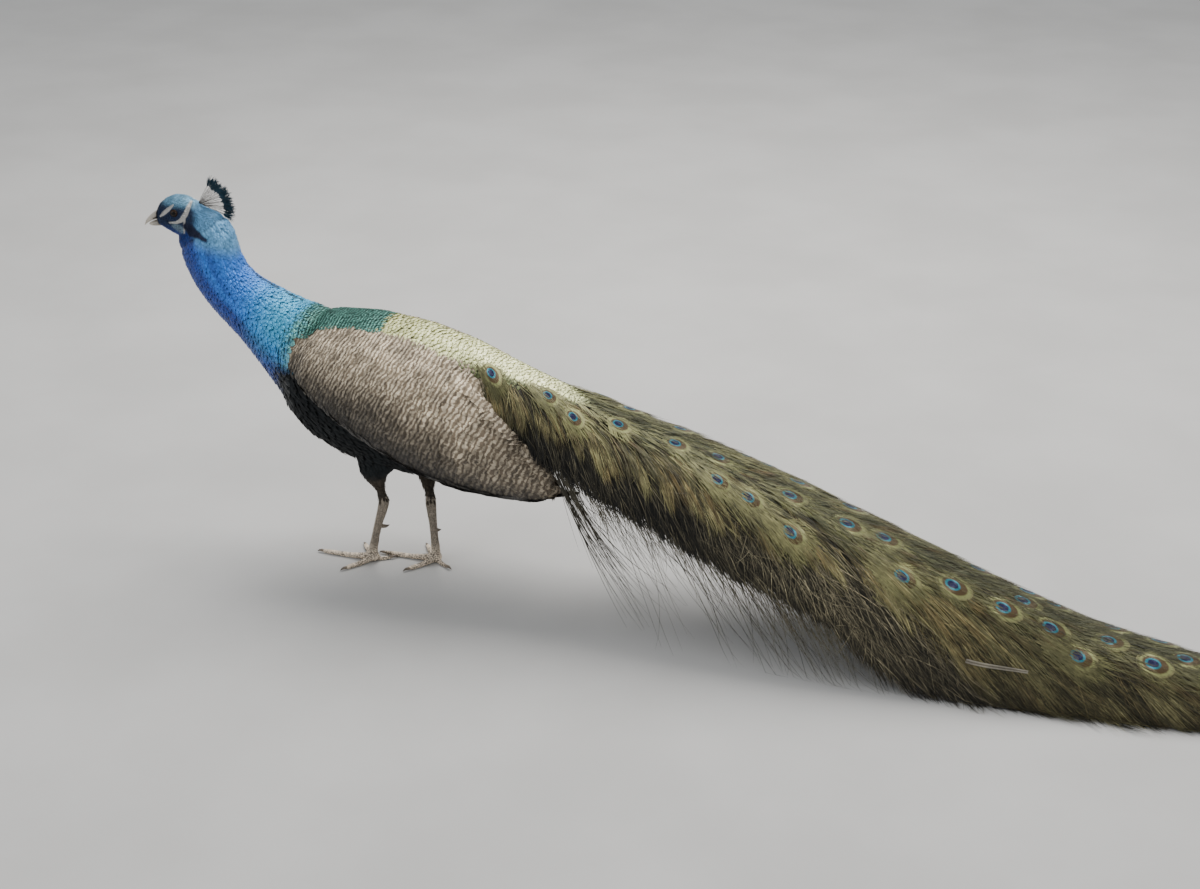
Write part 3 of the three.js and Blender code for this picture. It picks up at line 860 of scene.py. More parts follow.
def skin_material(name, roughness=0.7):
    """Skin: its markings come from the same colours as the coat over it, with pores and fine folds."""
    shader = Shader(name, roughness=roughness, specular=0.3)
    pores = shader.noise(900, 4.0)
    folds = shader.node("ShaderNodeTexVoronoi", {"Vector": shader.place(), "Scale": 420.0}).outputs[0]
    shader.use("Base Color", shader.shaded(shader.tint(), shader.step(0.25, 0.75, pores, 0.8, 1.15)))
    shader.bump(shader.times_plus(folds, 0.6, pores), 0.0004, 0.6)
    return shader.material


def horn_material(name):
    """Horn in the colours of its own attribute, with growth lines and a dull gloss."""
    shader = Shader(name, roughness=0.38, specular=0.5, coat=0.15, coat_roughness=0.3)
    streaks = shader.noise(700, 5.0)
    shader.use("Base Color", shader.shaded(shader.tint(), shader.step(0.3, 0.75, streaks, 1.1, 0.72)))
    shader.bump(streaks, 0.0003, 0.5)
    return shader.material


def eye_material(side):
    """A glossy dark brown eye: pupil and iris round the axis that the eye looks along."""
    shader = Shader(f"eye_{side}", roughness=0.04, specular=0.22)

    def vector(operation, *inputs):
        return shader.node("ShaderNodeVectorMath", dict(enumerate(inputs)), operation=operation)

    offset = vector("SUBTRACT", shader.place(), tuple(eye_place(side)[0]))
    aim = vector("NORMALIZE", offset.outputs[0])
    axis = tuple(head_turned([[0, SIDES[side], 0]])[0])
    towards = vector("DOT_PRODUCT", aim.outputs[0], axis).outputs["Value"]
    iris = shader.blend(shader.noise(1500, 4.0), (0.012, 0.006, 0.003, 1), (0.040, 0.018, 0.008, 1))
    tone = shader.blend(shader.step(0.86, 0.875, towards), iris, (0.002, 0.002, 0.002, 1))
    tone = shader.blend(shader.step(0.50, 0.56, towards), (0.02, 0.012, 0.01, 1), tone)
    shader.use("Base Color", tone)
    return shader.material


def floor_material():
    shader = Shader("floor", roughness=0.85, specular=0.15)
    cloud = shader.step(0.3, 0.7, shader.noise(3.0, 5.0), 0.0, 1.0)
    shader.use("Base Color", shader.blend(cloud, (0.60, 0.59, 0.57, 1), (0.66, 0.65, 0.63, 1)))
    shader.bump(shader.noise(240, 3.0), 0.0004, 0.2)
    return shader.material


# ---------------------------------------------------------------- skin

# How deep the skin lies under the CAD surface, which is the outside of the coat.
COAT_DEPTH = {
    "head": 1.0, "neck_upper": 2.8, "neck_lower": 3.6, "trunk": 4.0, "wing": 3.4, "flight_feathers": 3.0,
    "thigh": 3.4, "shank": 0.7, "foot": 0.7,
}


def coat_depth(obj, find):
    """The depth of the coat over each vertex of a piece, in metres, evened out between the nodes."""
    kinds = find.kinds(vertices(obj))
    depth = np.array([COAT_DEPTH[k] for k in kinds]) * MM
    return even_out(obj, depth, 12)


def set_tint(obj, tint):
    """Gives each vertex its own colour for the material to use."""
    attribute = obj.data.color_attributes.new("tint", "FLOAT_COLOR", "POINT")
    attribute.data.foreach_set("color", np.c_[tint, np.ones(len(tint))].ravel())


def eyelid(side):
    """A ring of lid round the eye, thick enough to hide the socket's edge."""
    centre, radius = eye_place(side)
    out = head_turned([[0.08, SIDES[side], 0.10]])[0]
    out /= np.linalg.norm(out)
    deselect()
    bpy.ops.mesh.primitive_torus_add(
        major_segments=40, minor_segments=14, major_radius=radius * 0.93, minor_radius=radius * 0.26,
        location=(0, 0, 0))
    lid = bpy.context.active_object
    turn = Vector((0, 0, 1)).rotation_difference(Vector(out)).to_matrix().to_4x4()
    lid.data.transform(Matrix.Translation(Vector(np.array(centre) + out * radius * 0.50)) @ turn)
    return lid


class PEACOCK_OT_skin(bpy.types.Operator):
    """Make one skin over all the flesh, sunk below the coat, with lids, folds and bare white skin"""
    bl_idname = "peacock.skin"
    bl_label = "Skin"

    def execute(self, context):
        find = NodeFinder(FLESH)
        fine = copy_of("skin_head", ["head", "neck_upper"], 0.0004)
        lids = [eyelid(side) for side in SIDES]
        deselect()
        for piece in (*lids, fine):
            piece.select_set(True)
        context.view_layer.objects.active = fine
        bpy.ops.object.join()
        remesh(fine, 0.00125, 4)
        sink(fine, coat_depth(fine, find), 3)
        pinch(fine, MID_NECK + 2, MID_NECK - 30)

        rest = [node for node in FLESH if not node.startswith(("head", "shank", "foot"))]
        coarse = copy_of("skin", rest, 0.0004)
        remesh(coarse, 0.0038, 6)
        sink(coarse, coat_depth(coarse, find))
        pinch(coarse, MID_NECK - 2, MID_NECK + 30)

        shells = [fine]
        for side in SIDES:
            leg = copy_of(f"skin_leg_{side}", [f"shank_{side}", f"foot_{side}"], 0.0003)
            remesh(leg, 0.0011, 3)
            sink(leg, coat_depth(leg, find))
            co = vertices(leg)
            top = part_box(f"shank_{side}")[1].z - 0.004
            share = smooth(top, top + 0.003, co[:, 2])[:, None]
            rim = co[share[:, 0] > 0.5].mean(0)
            thigh = vertices(frame["nodes"][f"thigh_{side}"])
            inside = thigh[np.abs(thigh[:, 2] - top - 0.022) < 0.010].mean(0)
            inside[2] = top + 0.018
            co += share * (inside - rim + (rim - co) * 0.35)
            move_vertices(leg, co)
            shells.append(leg)
        for shell in shells:
            joining = coarse.modifiers.new("join", "BOOLEAN")
            joining.operation = "UNION"
            joining.solver = "MANIFOLD"
            joining.object = shell
            apply_modifiers(coarse)
        for shell in shells:
            bpy.data.objects.remove(shell)
        skin = coarse
        set_tint(skin, plumage(vertices(skin), find.kinds(vertices(skin))) * 0.55)
        skin.data.shade_smooth()
        unfold(skin)
        dress(skin, skin_material("skin"))
        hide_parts(*FLESH)
        return {"FINISHED"}


def unfold(obj):
    """Unwraps a piece's own shape into the map that its coat takes its patches from."""
    obj.data.uv_layers.new(name="OFBake")
    edit(obj, lambda: bpy.ops.uv.smart_project(angle_limit=math.radians(66), island_margin=0.002))


def shank_ends(side):
    """The middle of a shank's upper and lower end."""
    co = vertices(frame["nodes"][f"shank_{side}"])
    top, bottom = co[:, 2].max(), co[:, 2].min()
    return co[co[:, 2] > top - 0.012].mean(0), co[co[:, 2] < bottom + 0.012].mean(0)


# ---------------------------------------------------------------- feathers of the body

def lighter(tint, rng, spread):
    """Each feather's own brightness."""
    return tint * rng.uniform(1 - spread, 1 + spread, (len(tint), 1))


def painted(points, owner, rng, spread):
    """The colour at every corner of many feathers, with each feather's own brightness."""
    corners = points[0].size // 3
    tint = plumage(points.reshape(-1, 3), np.repeat(owner, corners)).reshape(points.shape)
    return tint * rng.uniform(1 - spread, 1 + spread, (len(points), 1, 1, 1))


def shoulder(ground, kinds):
    """The triangles of the trunk and neck just before the wings, which barred feathers cover too."""
    wings = NodeFinder(["wing_left", "wing_right"])
    x, y, z = bird(ground.centre).T
    beside = np.isin(kinds, ("trunk", "neck_lower")) & (z > 338) & (z < 390)
    beside &= (x > -160) & (x < -80) & (np.abs(y) > 50)
    for i in np.flatnonzero(beside):
        beside[i] = wings.tree.find_nearest(ground.centre[i].tolist())[3] < 0.015
    return beside


class PEACOCK_OT_head_feathers(bpy.types.Operator):
    """Lay tiny feathers on the head, leaving the white skin of the face bare"""
    bl_idname = "peacock.head_feathers"
    bl_label = "Head feathers"

    def execute(self, context):
        rng = np.random.default_rng(11)
        ground, kinds, _ = body_plan()
        roots = ground.scatter(size("head_feather") * 0.40 * MM, kinds == "head", rng)
        local = head_local(roots)
        off_eye = local[:, [0, 2]] - EYE_CENTRE
        off_bill = (local[:, [0, 2]] - BILL_BASE) * (1, 0.6)
        open_eye = np.hypot(off_eye[:, 0], off_eye[:, 1]) < EYE_OPENING
        bill = np.hypot(off_bill[:, 0], off_bill[:, 1]) < 6
        roots = roots[~open_eye & ~bill & (bare_face(local) < 0.5)]
        local = head_local(roots)

        def way(points):
            q = head_local(points)
            rise = np.interp(q[:, 0], (-380, -350, -310), (0.5, 0, -0.9))
            cheek = 1 - smooth(520, 545, q[:, 2])
            return head_turned(unit(np.c_[np.ones(len(q)), np.zeros(len(q)), rise - 0.5 * cheek]))

        crown = smooth(550, 562, local[:, 2])
        length = size("head_feather") * mix(0.85, 1.25, smooth(-345, -310, local[:, 0]))
        points, vane = lay_feathers(ground, roots, way, length, 1.9 + 0.5 * crown, (0.05, 1.1), rng,
                                    rows=3, columns=2, camber=0.25)
        coat = Coat(ground)
        coat.add(points, vane, painted(points, np.full(len(roots), "head"), rng, 0.2))
        material = vane_material("head_feathers", barbs=3, shaft=0.1, roughness=0.45, metallic=0.25)
        coat.finish("head_feathers", material, "blue_feathers")
        return {"FINISHED"}


class PEACOCK_OT_neck_feathers(bpy.types.Operator):
    """Lay the small glossy feathers of the neck and breast"""
    bl_idname = "peacock.neck_feathers"
    bl_label = "Neck and breast feathers"

    def execute(self, context):
        rng = np.random.default_rng(12)
        ground, kinds, centre = body_plan()
        find = NodeFinder(FLESH)
        neck = np.isin(kinds, ("neck_upper", "neck_lower"))
        breast = (kinds == "trunk") & (centre[:, 0] < -150) & ~shoulder(ground, kinds)
        material = vane_material("neck_feathers", barbs=5, shaft=0.12, root_dark=0.35, glow=1.15, dull=True,
                                 roughness=0.36, metallic=0.42, specular=0.5, sheen=0.1)
        zones = (
            ("neck_feathers_upper", neck & (centre[:, 2] > 430), 3.3, 0.9, 1.0),
            ("neck_feathers_lower", neck & (centre[:, 2] <= 430), 4.1, 1.15, 1.2),
            ("breast_feathers", breast, 6.0, 1.5, 1.7),
        )
        for name, wanted, spacing, longer, wider in zones:
            roots = ground.scatter(spacing * MM, wanted, rng)
            owner = find.kinds(roots)
            x, y, z = bird(roots).T
            # A thin line of painted shade along the back of the neck, on its far side, where its outline
            # turns away.
            shade_line = (np.abs(y - 13) < 3.5) & (x > -252) & (x < -168) & (z > 405)
            length = size("neck_feather") * longer * rng.uniform(0.85, 1.15, len(roots))
            width = size("neck_feather") * 0.58 * wider
            deep = np.array([COAT_DEPTH[k] for k in owner]) + rng.uniform(-0.3, 0.2, len(roots))
            points, vane = lay_feathers(ground, roots, lie_direction, length, width, (0.1, deep), rng,
                                        camber=0.2)
            tint = painted(points, owner, rng, 0.15)
            tint[shade_line] *= 0.2
            low = 1 - smooth(235, 345, bird(points.reshape(-1, 3))[:, 2]).reshape(points.shape[:3])
            coat = Coat(ground)
            coat.add(points, vane, tint, mark=low)
            coat.finish(name, material, "blue_feathers")
        return {"FINISHED"}


class PEACOCK_OT_back_feathers(bpy.types.Operator):
    """Lay the fine dark mantle and the bright scale-like feathers of the lower back"""
    bl_idname = "peacock.back_feathers"
    bl_label = "Mantle and back feathers"

    @staticmethod
    def lit_half_width(x, y):
        """How far the painted highlight on the scales reaches from the middle of the back, further on the
        right side, which faces the key light.
        """
        left = np.interp(x, (-14, 40, 120, 200, 290), (100, 74, 42, 28, 10))
        right = np.interp(x, (-14, 40, 120, 200, 240, 300), (100, 80, 62, 54, 44, 14))
        return np.where(y < 0, left, right)

    def execute(self, context):
        rng = np.random.default_rng(13)
        ground, kinds, centre = body_plan()
        x, _, z = centre.T
        mantle = (kinds == "trunk") & (x > -165) & (x < -11) & (z > 335) & ~shoulder(ground, kinds)
        roots = ground.scatter(3.1 * MM, mantle, rng)
        tint = lighter(plumage(roots, np.full(len(roots), "trunk")), rng, 0.3)
        points, vane = lay_feathers(ground, roots, lie_direction, 9.5, 5.0, (0.1, 4.0), rng)
        phase = bird(points.reshape(-1, 3))[:, 0].reshape(points.shape[:3]) * (2 * math.pi / 5.0)
        coat = Coat(ground)
        coat.add(points, vane, tint, mark=phase + rng.normal(0, 0.25, (len(roots), 1, 1)))
        material = vane_material("mantle_feathers", barbs=5, root_dark=0.5, lines=True, roughness=0.45,
                                 metallic=0.3)
        coat.finish("mantle_feathers", material, "dark_feathers")

        over = guide(["trunk", "train_1", "train_2"], 0.0055, 10, 4.6)
        x, y, _ = bird(over.centre).T
        wanted = (x > -18) & (x < 300) & (np.abs(y) < self.lit_half_width(x, y) + 8)
        wanted &= over.normals[over.tri].mean(1)[:, 2] > 0.05
        roots = over.scatter(5.0 * MM, wanted, rng, 14)
        x, y, _ = bird(roots).T
        growth = mix(0.8, 1.3, smooth(0, 260, x))
        length = size("back_feather") * growth * rng.uniform(0.9, 1.1, len(roots))
        width = size("back_feather") * 0.72 * growth
        # Painted light: the scales are bright along the top of the back and darker towards the sides as
        # painted shade, and darker towards the rear end.
        aside = smooth(0.55, 1.15, np.abs(y) / self.lit_half_width(x, y))
        aside = np.maximum(aside, 0.7 * smooth(225, 300, x))
        tint = lighter(tinged("back", "back_side_shade", aside), rng, 0.25)
        points, vane = lay_feathers(over, roots, lie_direction, length, width, (0.1, 4.4), rng, rows=5,
                                    columns=6, camber=0.16, blunt=0.55, ragged=0.03)
        coat = Coat(ground)
        coat.add(points, vane, tint)
        material = vane_material("back_feathers", barbs=6, rim=0.86, root_dark=0.55, glow=1.3,
                                 roughness=0.4, metallic=0.35, specular=0.5)
        coat.finish("back_feathers", material, "train_feathers")
        return {"FINISHED"}


class PEACOCK_OT_wing_feathers(bpy.types.Operator):
    """Lay the barred feathers of both folded wings, small at the shoulder and longer to the tip"""
    bl_idname = "peacock.wing_feathers"
    bl_label = "Wing feathers"

    @staticmethod
    def way(points):
        """Back along the wing, steeper near its lower edge."""
        p = bird(points)
        lower = level(WING_EDGE, p[:, 0])
        share = np.clip((p[:, 2] - lower) / np.maximum(level(WING_TOP, p[:, 0]) - lower, 20), 0, 1)
        angle = np.radians(mix(-30, -15, share))
        return np.c_[np.cos(angle), np.zeros(len(p)), np.sin(angle)]

    def execute(self, context):
        ground, kinds, centre = body_plan()
        wing = np.isin(kinds, ("wing", "flight_feathers")) | shoulder(ground, kinds)
        material = barred_material("wing_feathers")
        for side in SIDES:
            rng = np.random.default_rng(14 if side == "left" else 15)
            outer = ground.normals[ground.tri].mean(1)[:, 1] * SIDES[side] > -0.35
            mine = wing & outer & (centre[:, 1] * SIDES[side] > 0)
            coat = Coat(ground)
            for first, last, spacing, longer in (
                    (-400, -40, 6.0, 0.75), (-40, 90, 8.0, 1.1), (90, 400, 10.5, 1.6)):
                zone = mine & (centre[:, 0] >= first) & (centre[:, 0] < last)
                roots = ground.scatter(spacing * MM, zone, rng)
                x, _, z = bird(roots).T
                number = len(roots)
                length = size("wing_feather") * longer * rng.uniform(0.9, 1.1, number)
                width = size("wing_feather") * 0.62 * longer**0.8
                points, vane = lay_feathers(ground, roots, self.way, length, width,
                                            (0.2, 3.3 + rng.uniform(-0.4, 0.5, number)), rng, rows=6,
                                            columns=6, camber=0.08, blunt=0.62, ragged=0.03,
                                            tuck=mix(2.0, 6.0, smooth(150, 230, x)))
                q = bird(points.reshape(-1, 3))
                run = q[:, 0] * 0.90 - q[:, 2] * 0.44
                grid = np.arange(-420, 420)
                pitch = np.interp(grid, (-300, -150, 40, 160, 300), (5.4, 5.8, 8.4, 8.2, 5.2))
                phase = np.interp(run, grid, np.cumsum(2 * math.pi / pitch)).reshape(points.shape[:3])
                phase = phase + rng.normal(0, 0.75, (number, 1, 1))
                tint = lighter(np.tile(colour("wing"), (number, 1)), rng, 0.16)
                # Painted light: a painted highlight over the upper middle of the wing, and painted shade
                # towards its front and its lower edge, where the wing turns under towards the belly.
                above = z - level(WING_EDGE, x)
                front = np.interp(x, (-150, -100, -30, 40), (4, 24, 52, 62))
                bright = smooth(front, front + 60, above) * smooth(190, 90, x)
                tint = tint * ((0.78 + 1.20 * bright) * mix(0.85, 1.0, smooth(-135, -85, x)))[:, None]
                high = np.interp(x, (-150, -100, -30, 60, 250), (28, 60, 108, 112, 34))
                tint = tint * mix(0.4, 1.0, smooth(-8, 12, above))[:, None]
                tint = tinged("wing_edge", tint, smooth(-6, high, above))
                coat.add(points, vane, tint, mark=phase)
            coat.finish(f"wing_feathers_{side}", material, "barred_feathers")
        return {"FINISHED"}


class PEACOCK_OT_belly_feathers(bpy.types.Operator):
    """Lay the soft dark feathers of the belly, flanks and thighs"""
    bl_idname = "peacock.belly_feathers"
    bl_label = "Belly and thigh feathers"

    def execute(self, context):
        rng = np.random.default_rng(16)
        ground, kinds, centre = body_plan()
        belly = (kinds == "trunk") & (centre[:, 0] >= -150) & (centre[:, 2] <= 335)
        roots = ground.scatter(6.5 * MM, belly, rng)
        tint = lighter(np.tile(colour("dark"), (len(roots), 1)), rng, 0.35)
        coat = Coat(ground)
        length = size("belly_feather") * rng.uniform(0.8, 1.2, len(roots))
        points, vane = lay_feathers(ground, roots, lie_direction, length, 12, (0.2, 4.4), rng, ragged=0.12)
        coat.add(points, vane, tint)
        roots = ground.scatter(4.2 * MM, kinds == "thigh", rng)
        # The top of the thigh is painted dark: painted shade under the belly.
        top = smooth(0.160, 0.190, roots[:, 2])
        tint = lighter(tinged("thigh", colour("dark") * 1.5, top), rng, 0.3)

        def down(points):
            return np.tile(unit(np.array([0.18, 0, -1.0])), (len(points), 1))

        low = smooth(0.150, 0.185, roots[:, 2])
        length = size("belly_feather") * 0.62 * rng.uniform(0.8, 1.2, len(roots)) * mix(0.5, 1, low)
        points, vane = lay_feathers(ground, roots, down, length, mix(4.0, 7.0, low),
                                    (0.1, mix(1.8, 3.6, low)), rng, ragged=0.10, tuck=0.5)
        coat.add(points, vane, tint)
        material = vane_material("belly_feathers", barbs=8, roughness=0.75, specular=0.2)
        coat.finish("belly_feathers", material, "dark_feathers")
        return {"FINISHED"}


# ---------------------------------------------------------------- legs

class PEACOCK_OT_leg_scales(bpy.types.Operator):
    """Cover the shanks and toes with scales: broad plates in front and on top, small ones elsewhere"""
    bl_idname = "peacock.leg_scales"
    bl_label = "Leg scales"

    def execute(self, context):
        rng = np.random.default_rng(17)
        ground, kinds, centre = body_plan()
        coat = Coat(ground)
        legs = np.isin(kinds, ("shank", "foot"))
        roots = ground.scatter(2.1 * MM, legs & (centre[:, 2] > 1.8), rng)
        # Brighter towards the floor: painted light on the toes.
        tint = lighter(colour("leg") * mix(2.6, 1.0, smooth(0.010, 0.040, roots[:, 2]))[:, None], rng, 0.18)
        points, vane = lay_feathers(ground, roots, self.way, 3.0, 2.7, (0.05, 0.42), rng, rows=2, columns=2,
                                    camber=0.05, ragged=0.0, tuck=0.3)
        coat.add(points, vane, tint)
        for side in SIDES:
            top, bottom = shank_ends(side)
            for share in (np.arange(25) + 0.2) / 25:
                middle = mix(top, bottom, share)
                self.plate(coat, ground, middle - (0.03, 0, 0), bottom - top, 6.2, 11.5, rng)
            for toe in TOES:
                low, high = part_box(f"claw_{toe}_{side}")
                tip = np.array((low + high) / 2)
                base = np.array([bottom[0], bottom[1], tip[2]])
                count = int(np.linalg.norm(tip - base) / 0.0041)
                for i in range(2, count):
                    middle = mix(base, tip, i / count)
                    self.plate(coat, ground, middle + (0, 0, 0.03), tip - base, 5.4, 8.5, rng)
        material = vane_material("leg_scales", barbs=1, shaft=0.0, depth=0.1, root_dark=0.55, roughness=0.5,
                                 specular=0.45)
        coat.finish("leg_scales", material, "leg_scales")
        return {"FINISHED"}

    @staticmethod
    def way(points):
        """Down the shank and out along the toes."""
        p = np.asarray(points)
        out = np.tile([0.0, 0.0, -1.0], (len(p), 1))
        left, right = (shank_ends(side)[1] * (1, 1, 0) for side in SIDES)
        for ankle, other in ((left, right), (right, left)):
            away = np.abs(p - ankle)
            foot = (away < FOOT_REACH).all(1)
            foot &= away[:, :2].sum(1) < np.abs(p - other)[:, :2].sum(1)
            out[foot] = unit((p - ankle) * (1, 1, 0) + 1e-6)[foot]
        return out

    @staticmethod
    def plate(coat, ground, near, way, length, wrap, rng):
        """One broad scale bent round the limb, found from a point off its surface."""
        place, normal, _, _ = ground.nearest([near])
        heading = unit(way - normal[0] * (way @ normal[0]))
        across = np.cross(heading, normal[0])
        v, u = np.linspace(0, 1, 3), np.linspace(-1, 1, 9)
        bow = 0.35 * u**2
        flat = place[0] + heading * ((v[:, None] * (1 - bow)[None] * length) * MM)[..., None]
        flat = flat + across * (u * wrap / 2 * MM)[:, None] - normal[0] * (bow * wrap / 2 * MM)[:, None]
        found, facing, _, _ = ground.nearest(flat.reshape(-1, 3))
        height = np.repeat(np.linspace(0.10, 0.75, len(v)), len(u)) * MM
        points = (found + facing * height[:, None]).reshape(1, *flat.shape)
        # Brighter towards the floor: painted light on the toes.
        tint = colour("leg") * rng.uniform(1.0, 1.3) * mix(2.5, 1.0, smooth(0.010, 0.040, place[0][2]))
        coat.add(points, vane_grid((u + 1) / 2, v), tint, roots=place)


# ---------------------------------------------------------------- the train

def train_surface(x, a):
    """A point of the train in bird millimetres. a runs from -1 at the left hem over the ridge to 1 at the
    right hem; past the hem it hangs straight down, and near the floor it spreads outwards."""
    hem = along(TRAIN_HEM, x)
    rise = np.maximum(along(TRAIN_TOP, x) - hem, 6.0)
    half = along(TRAIN_HALF_WIDTH, x)
    angle = np.clip(a, -1, 1) * math.pi / 2
    past = np.maximum(np.abs(a) - 1, 0) * rise * math.pi / 2
    z = hem + rise * np.cos(angle) - past
    below = np.maximum(FLOOR_GAP - z, 0)
    y = half * np.sin(angle) + np.sign(a) * (past * 0.06 + below * 0.5)
    return np.stack([x, np.clip(y, -TRAIN_SPREAD, TRAIN_SPREAD), np.maximum(z, FLOOR_GAP)], -1)


def back_end(a):
    """How far back the bright scales of the back reach over the train at a."""
    left = np.interp(-a, (0, 0.06, 0.24, 0.39, 0.64, 1), (296, 288, 196, 152, 122, 122))
    right = np.interp(a, (0, 0.06, 0.24, 0.39, 0.50, 0.64, 1), (296, 294, 268, 240, 190, 150, 122))
    return np.where(a < 0, left, right)


def train_frame(x, a, height=0.0):
    """The row frame place at a height over the train, its ways back and down, its normal, and the
    millimetres that one unit of a takes there."""
    x, a = np.broadcast_arrays(np.asarray(x, float), np.asarray(a, float))
    back = unit(train_surface(x + 4, a) - train_surface(x - 4, a))
    down = train_surface(x, a + 0.02) - train_surface(x, a - 0.02)
    stretch = np.maximum(np.linalg.norm(down, axis=-1) / 0.04, 25.0)
    normal = unit(np.cross(back, unit(down)))
    place = train_surface(x, a) + normal * np.asarray(height, float)[..., None]
    place[..., 2] = np.maximum(place[..., 2], 1.2)
    return (place + STANCE) * MM, back, normal, stretch


def strands(x, a, side, length, angle, bend, start, end, rows, gather=0.0):
    """Barbs laid on the train: each leaves (x, a) at an angle to the train's length, towards one side, turns
    by bend and goes from the start height to the end height; gather pulls its tip along the train."""
    spine, facing = [], []
    step = np.asarray(length, float) / (rows - 1)
    x, a = np.array(x, float), np.array(a, float)
    for row in range(rows):
        t = row / (rows - 1)
        point, back, normal, stretch = train_frame(x, a, mix(start, end, t**1.3))
        spine.append(point)
        facing.append(normal)
        turn = angle + bend * t
        drawn = gather * (2 * t + 0.1) / (rows - 1)
        x = x + step * np.cos(turn) * np.maximum(np.abs(back[..., 0]), 0.5) - drawn
        a = a + side * step * np.sin(turn) / stretch
    return np.stack(spine, 1), np.stack(facing, 1)


class PEACOCK_OT_train_bed(bpy.types.Operator):
    """Make the body of the train that its barbs lie on, painted dark as the shade inside the train"""
    bl_idname = "peacock.train_bed"
    bl_label = "Train bed"

    def execute(self, context):
        bed = copy_of("train_bed", TRAIN, 0.0005)
        remesh(bed, 0.0060, 8)
        x = bird(vertices(bed))[:, 0]
        thick = np.maximum(along(TRAIN_TOP, x) - along(TRAIN_HEM, x), 4)
        sink(bed, np.minimum(mix(2, 12, smooth(240, 420, x)), 0.22 * thick) * MM, 4)
        co = np.stack([even_out(bed, vertices(bed)[:, axis], 14) for axis in range(3)], 1)
        co[:, 2] -= 0.011 * smooth(270, 190, bird(co)[:, 0])
        co[:, 2] = np.maximum(co[:, 2], FLOOR_GAP * MM)
        move_vertices(bed, co)
        # Painted shade: the bed is almost black, the shade deep inside the train, turning to the colour of
        # the top barbs at its end.
        end = smooth(TRAIN_END - 60, TRAIN_END - 10, bird(co)[:, 0])
        set_tint(bed, tinged("train_bed", "barb_top", end))
        bed.data.shade_smooth()
        unfold(bed)
        dress(bed, skin_material("train_bed", 0.9))
        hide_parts(*TRAIN)
        return {"FINISHED"}


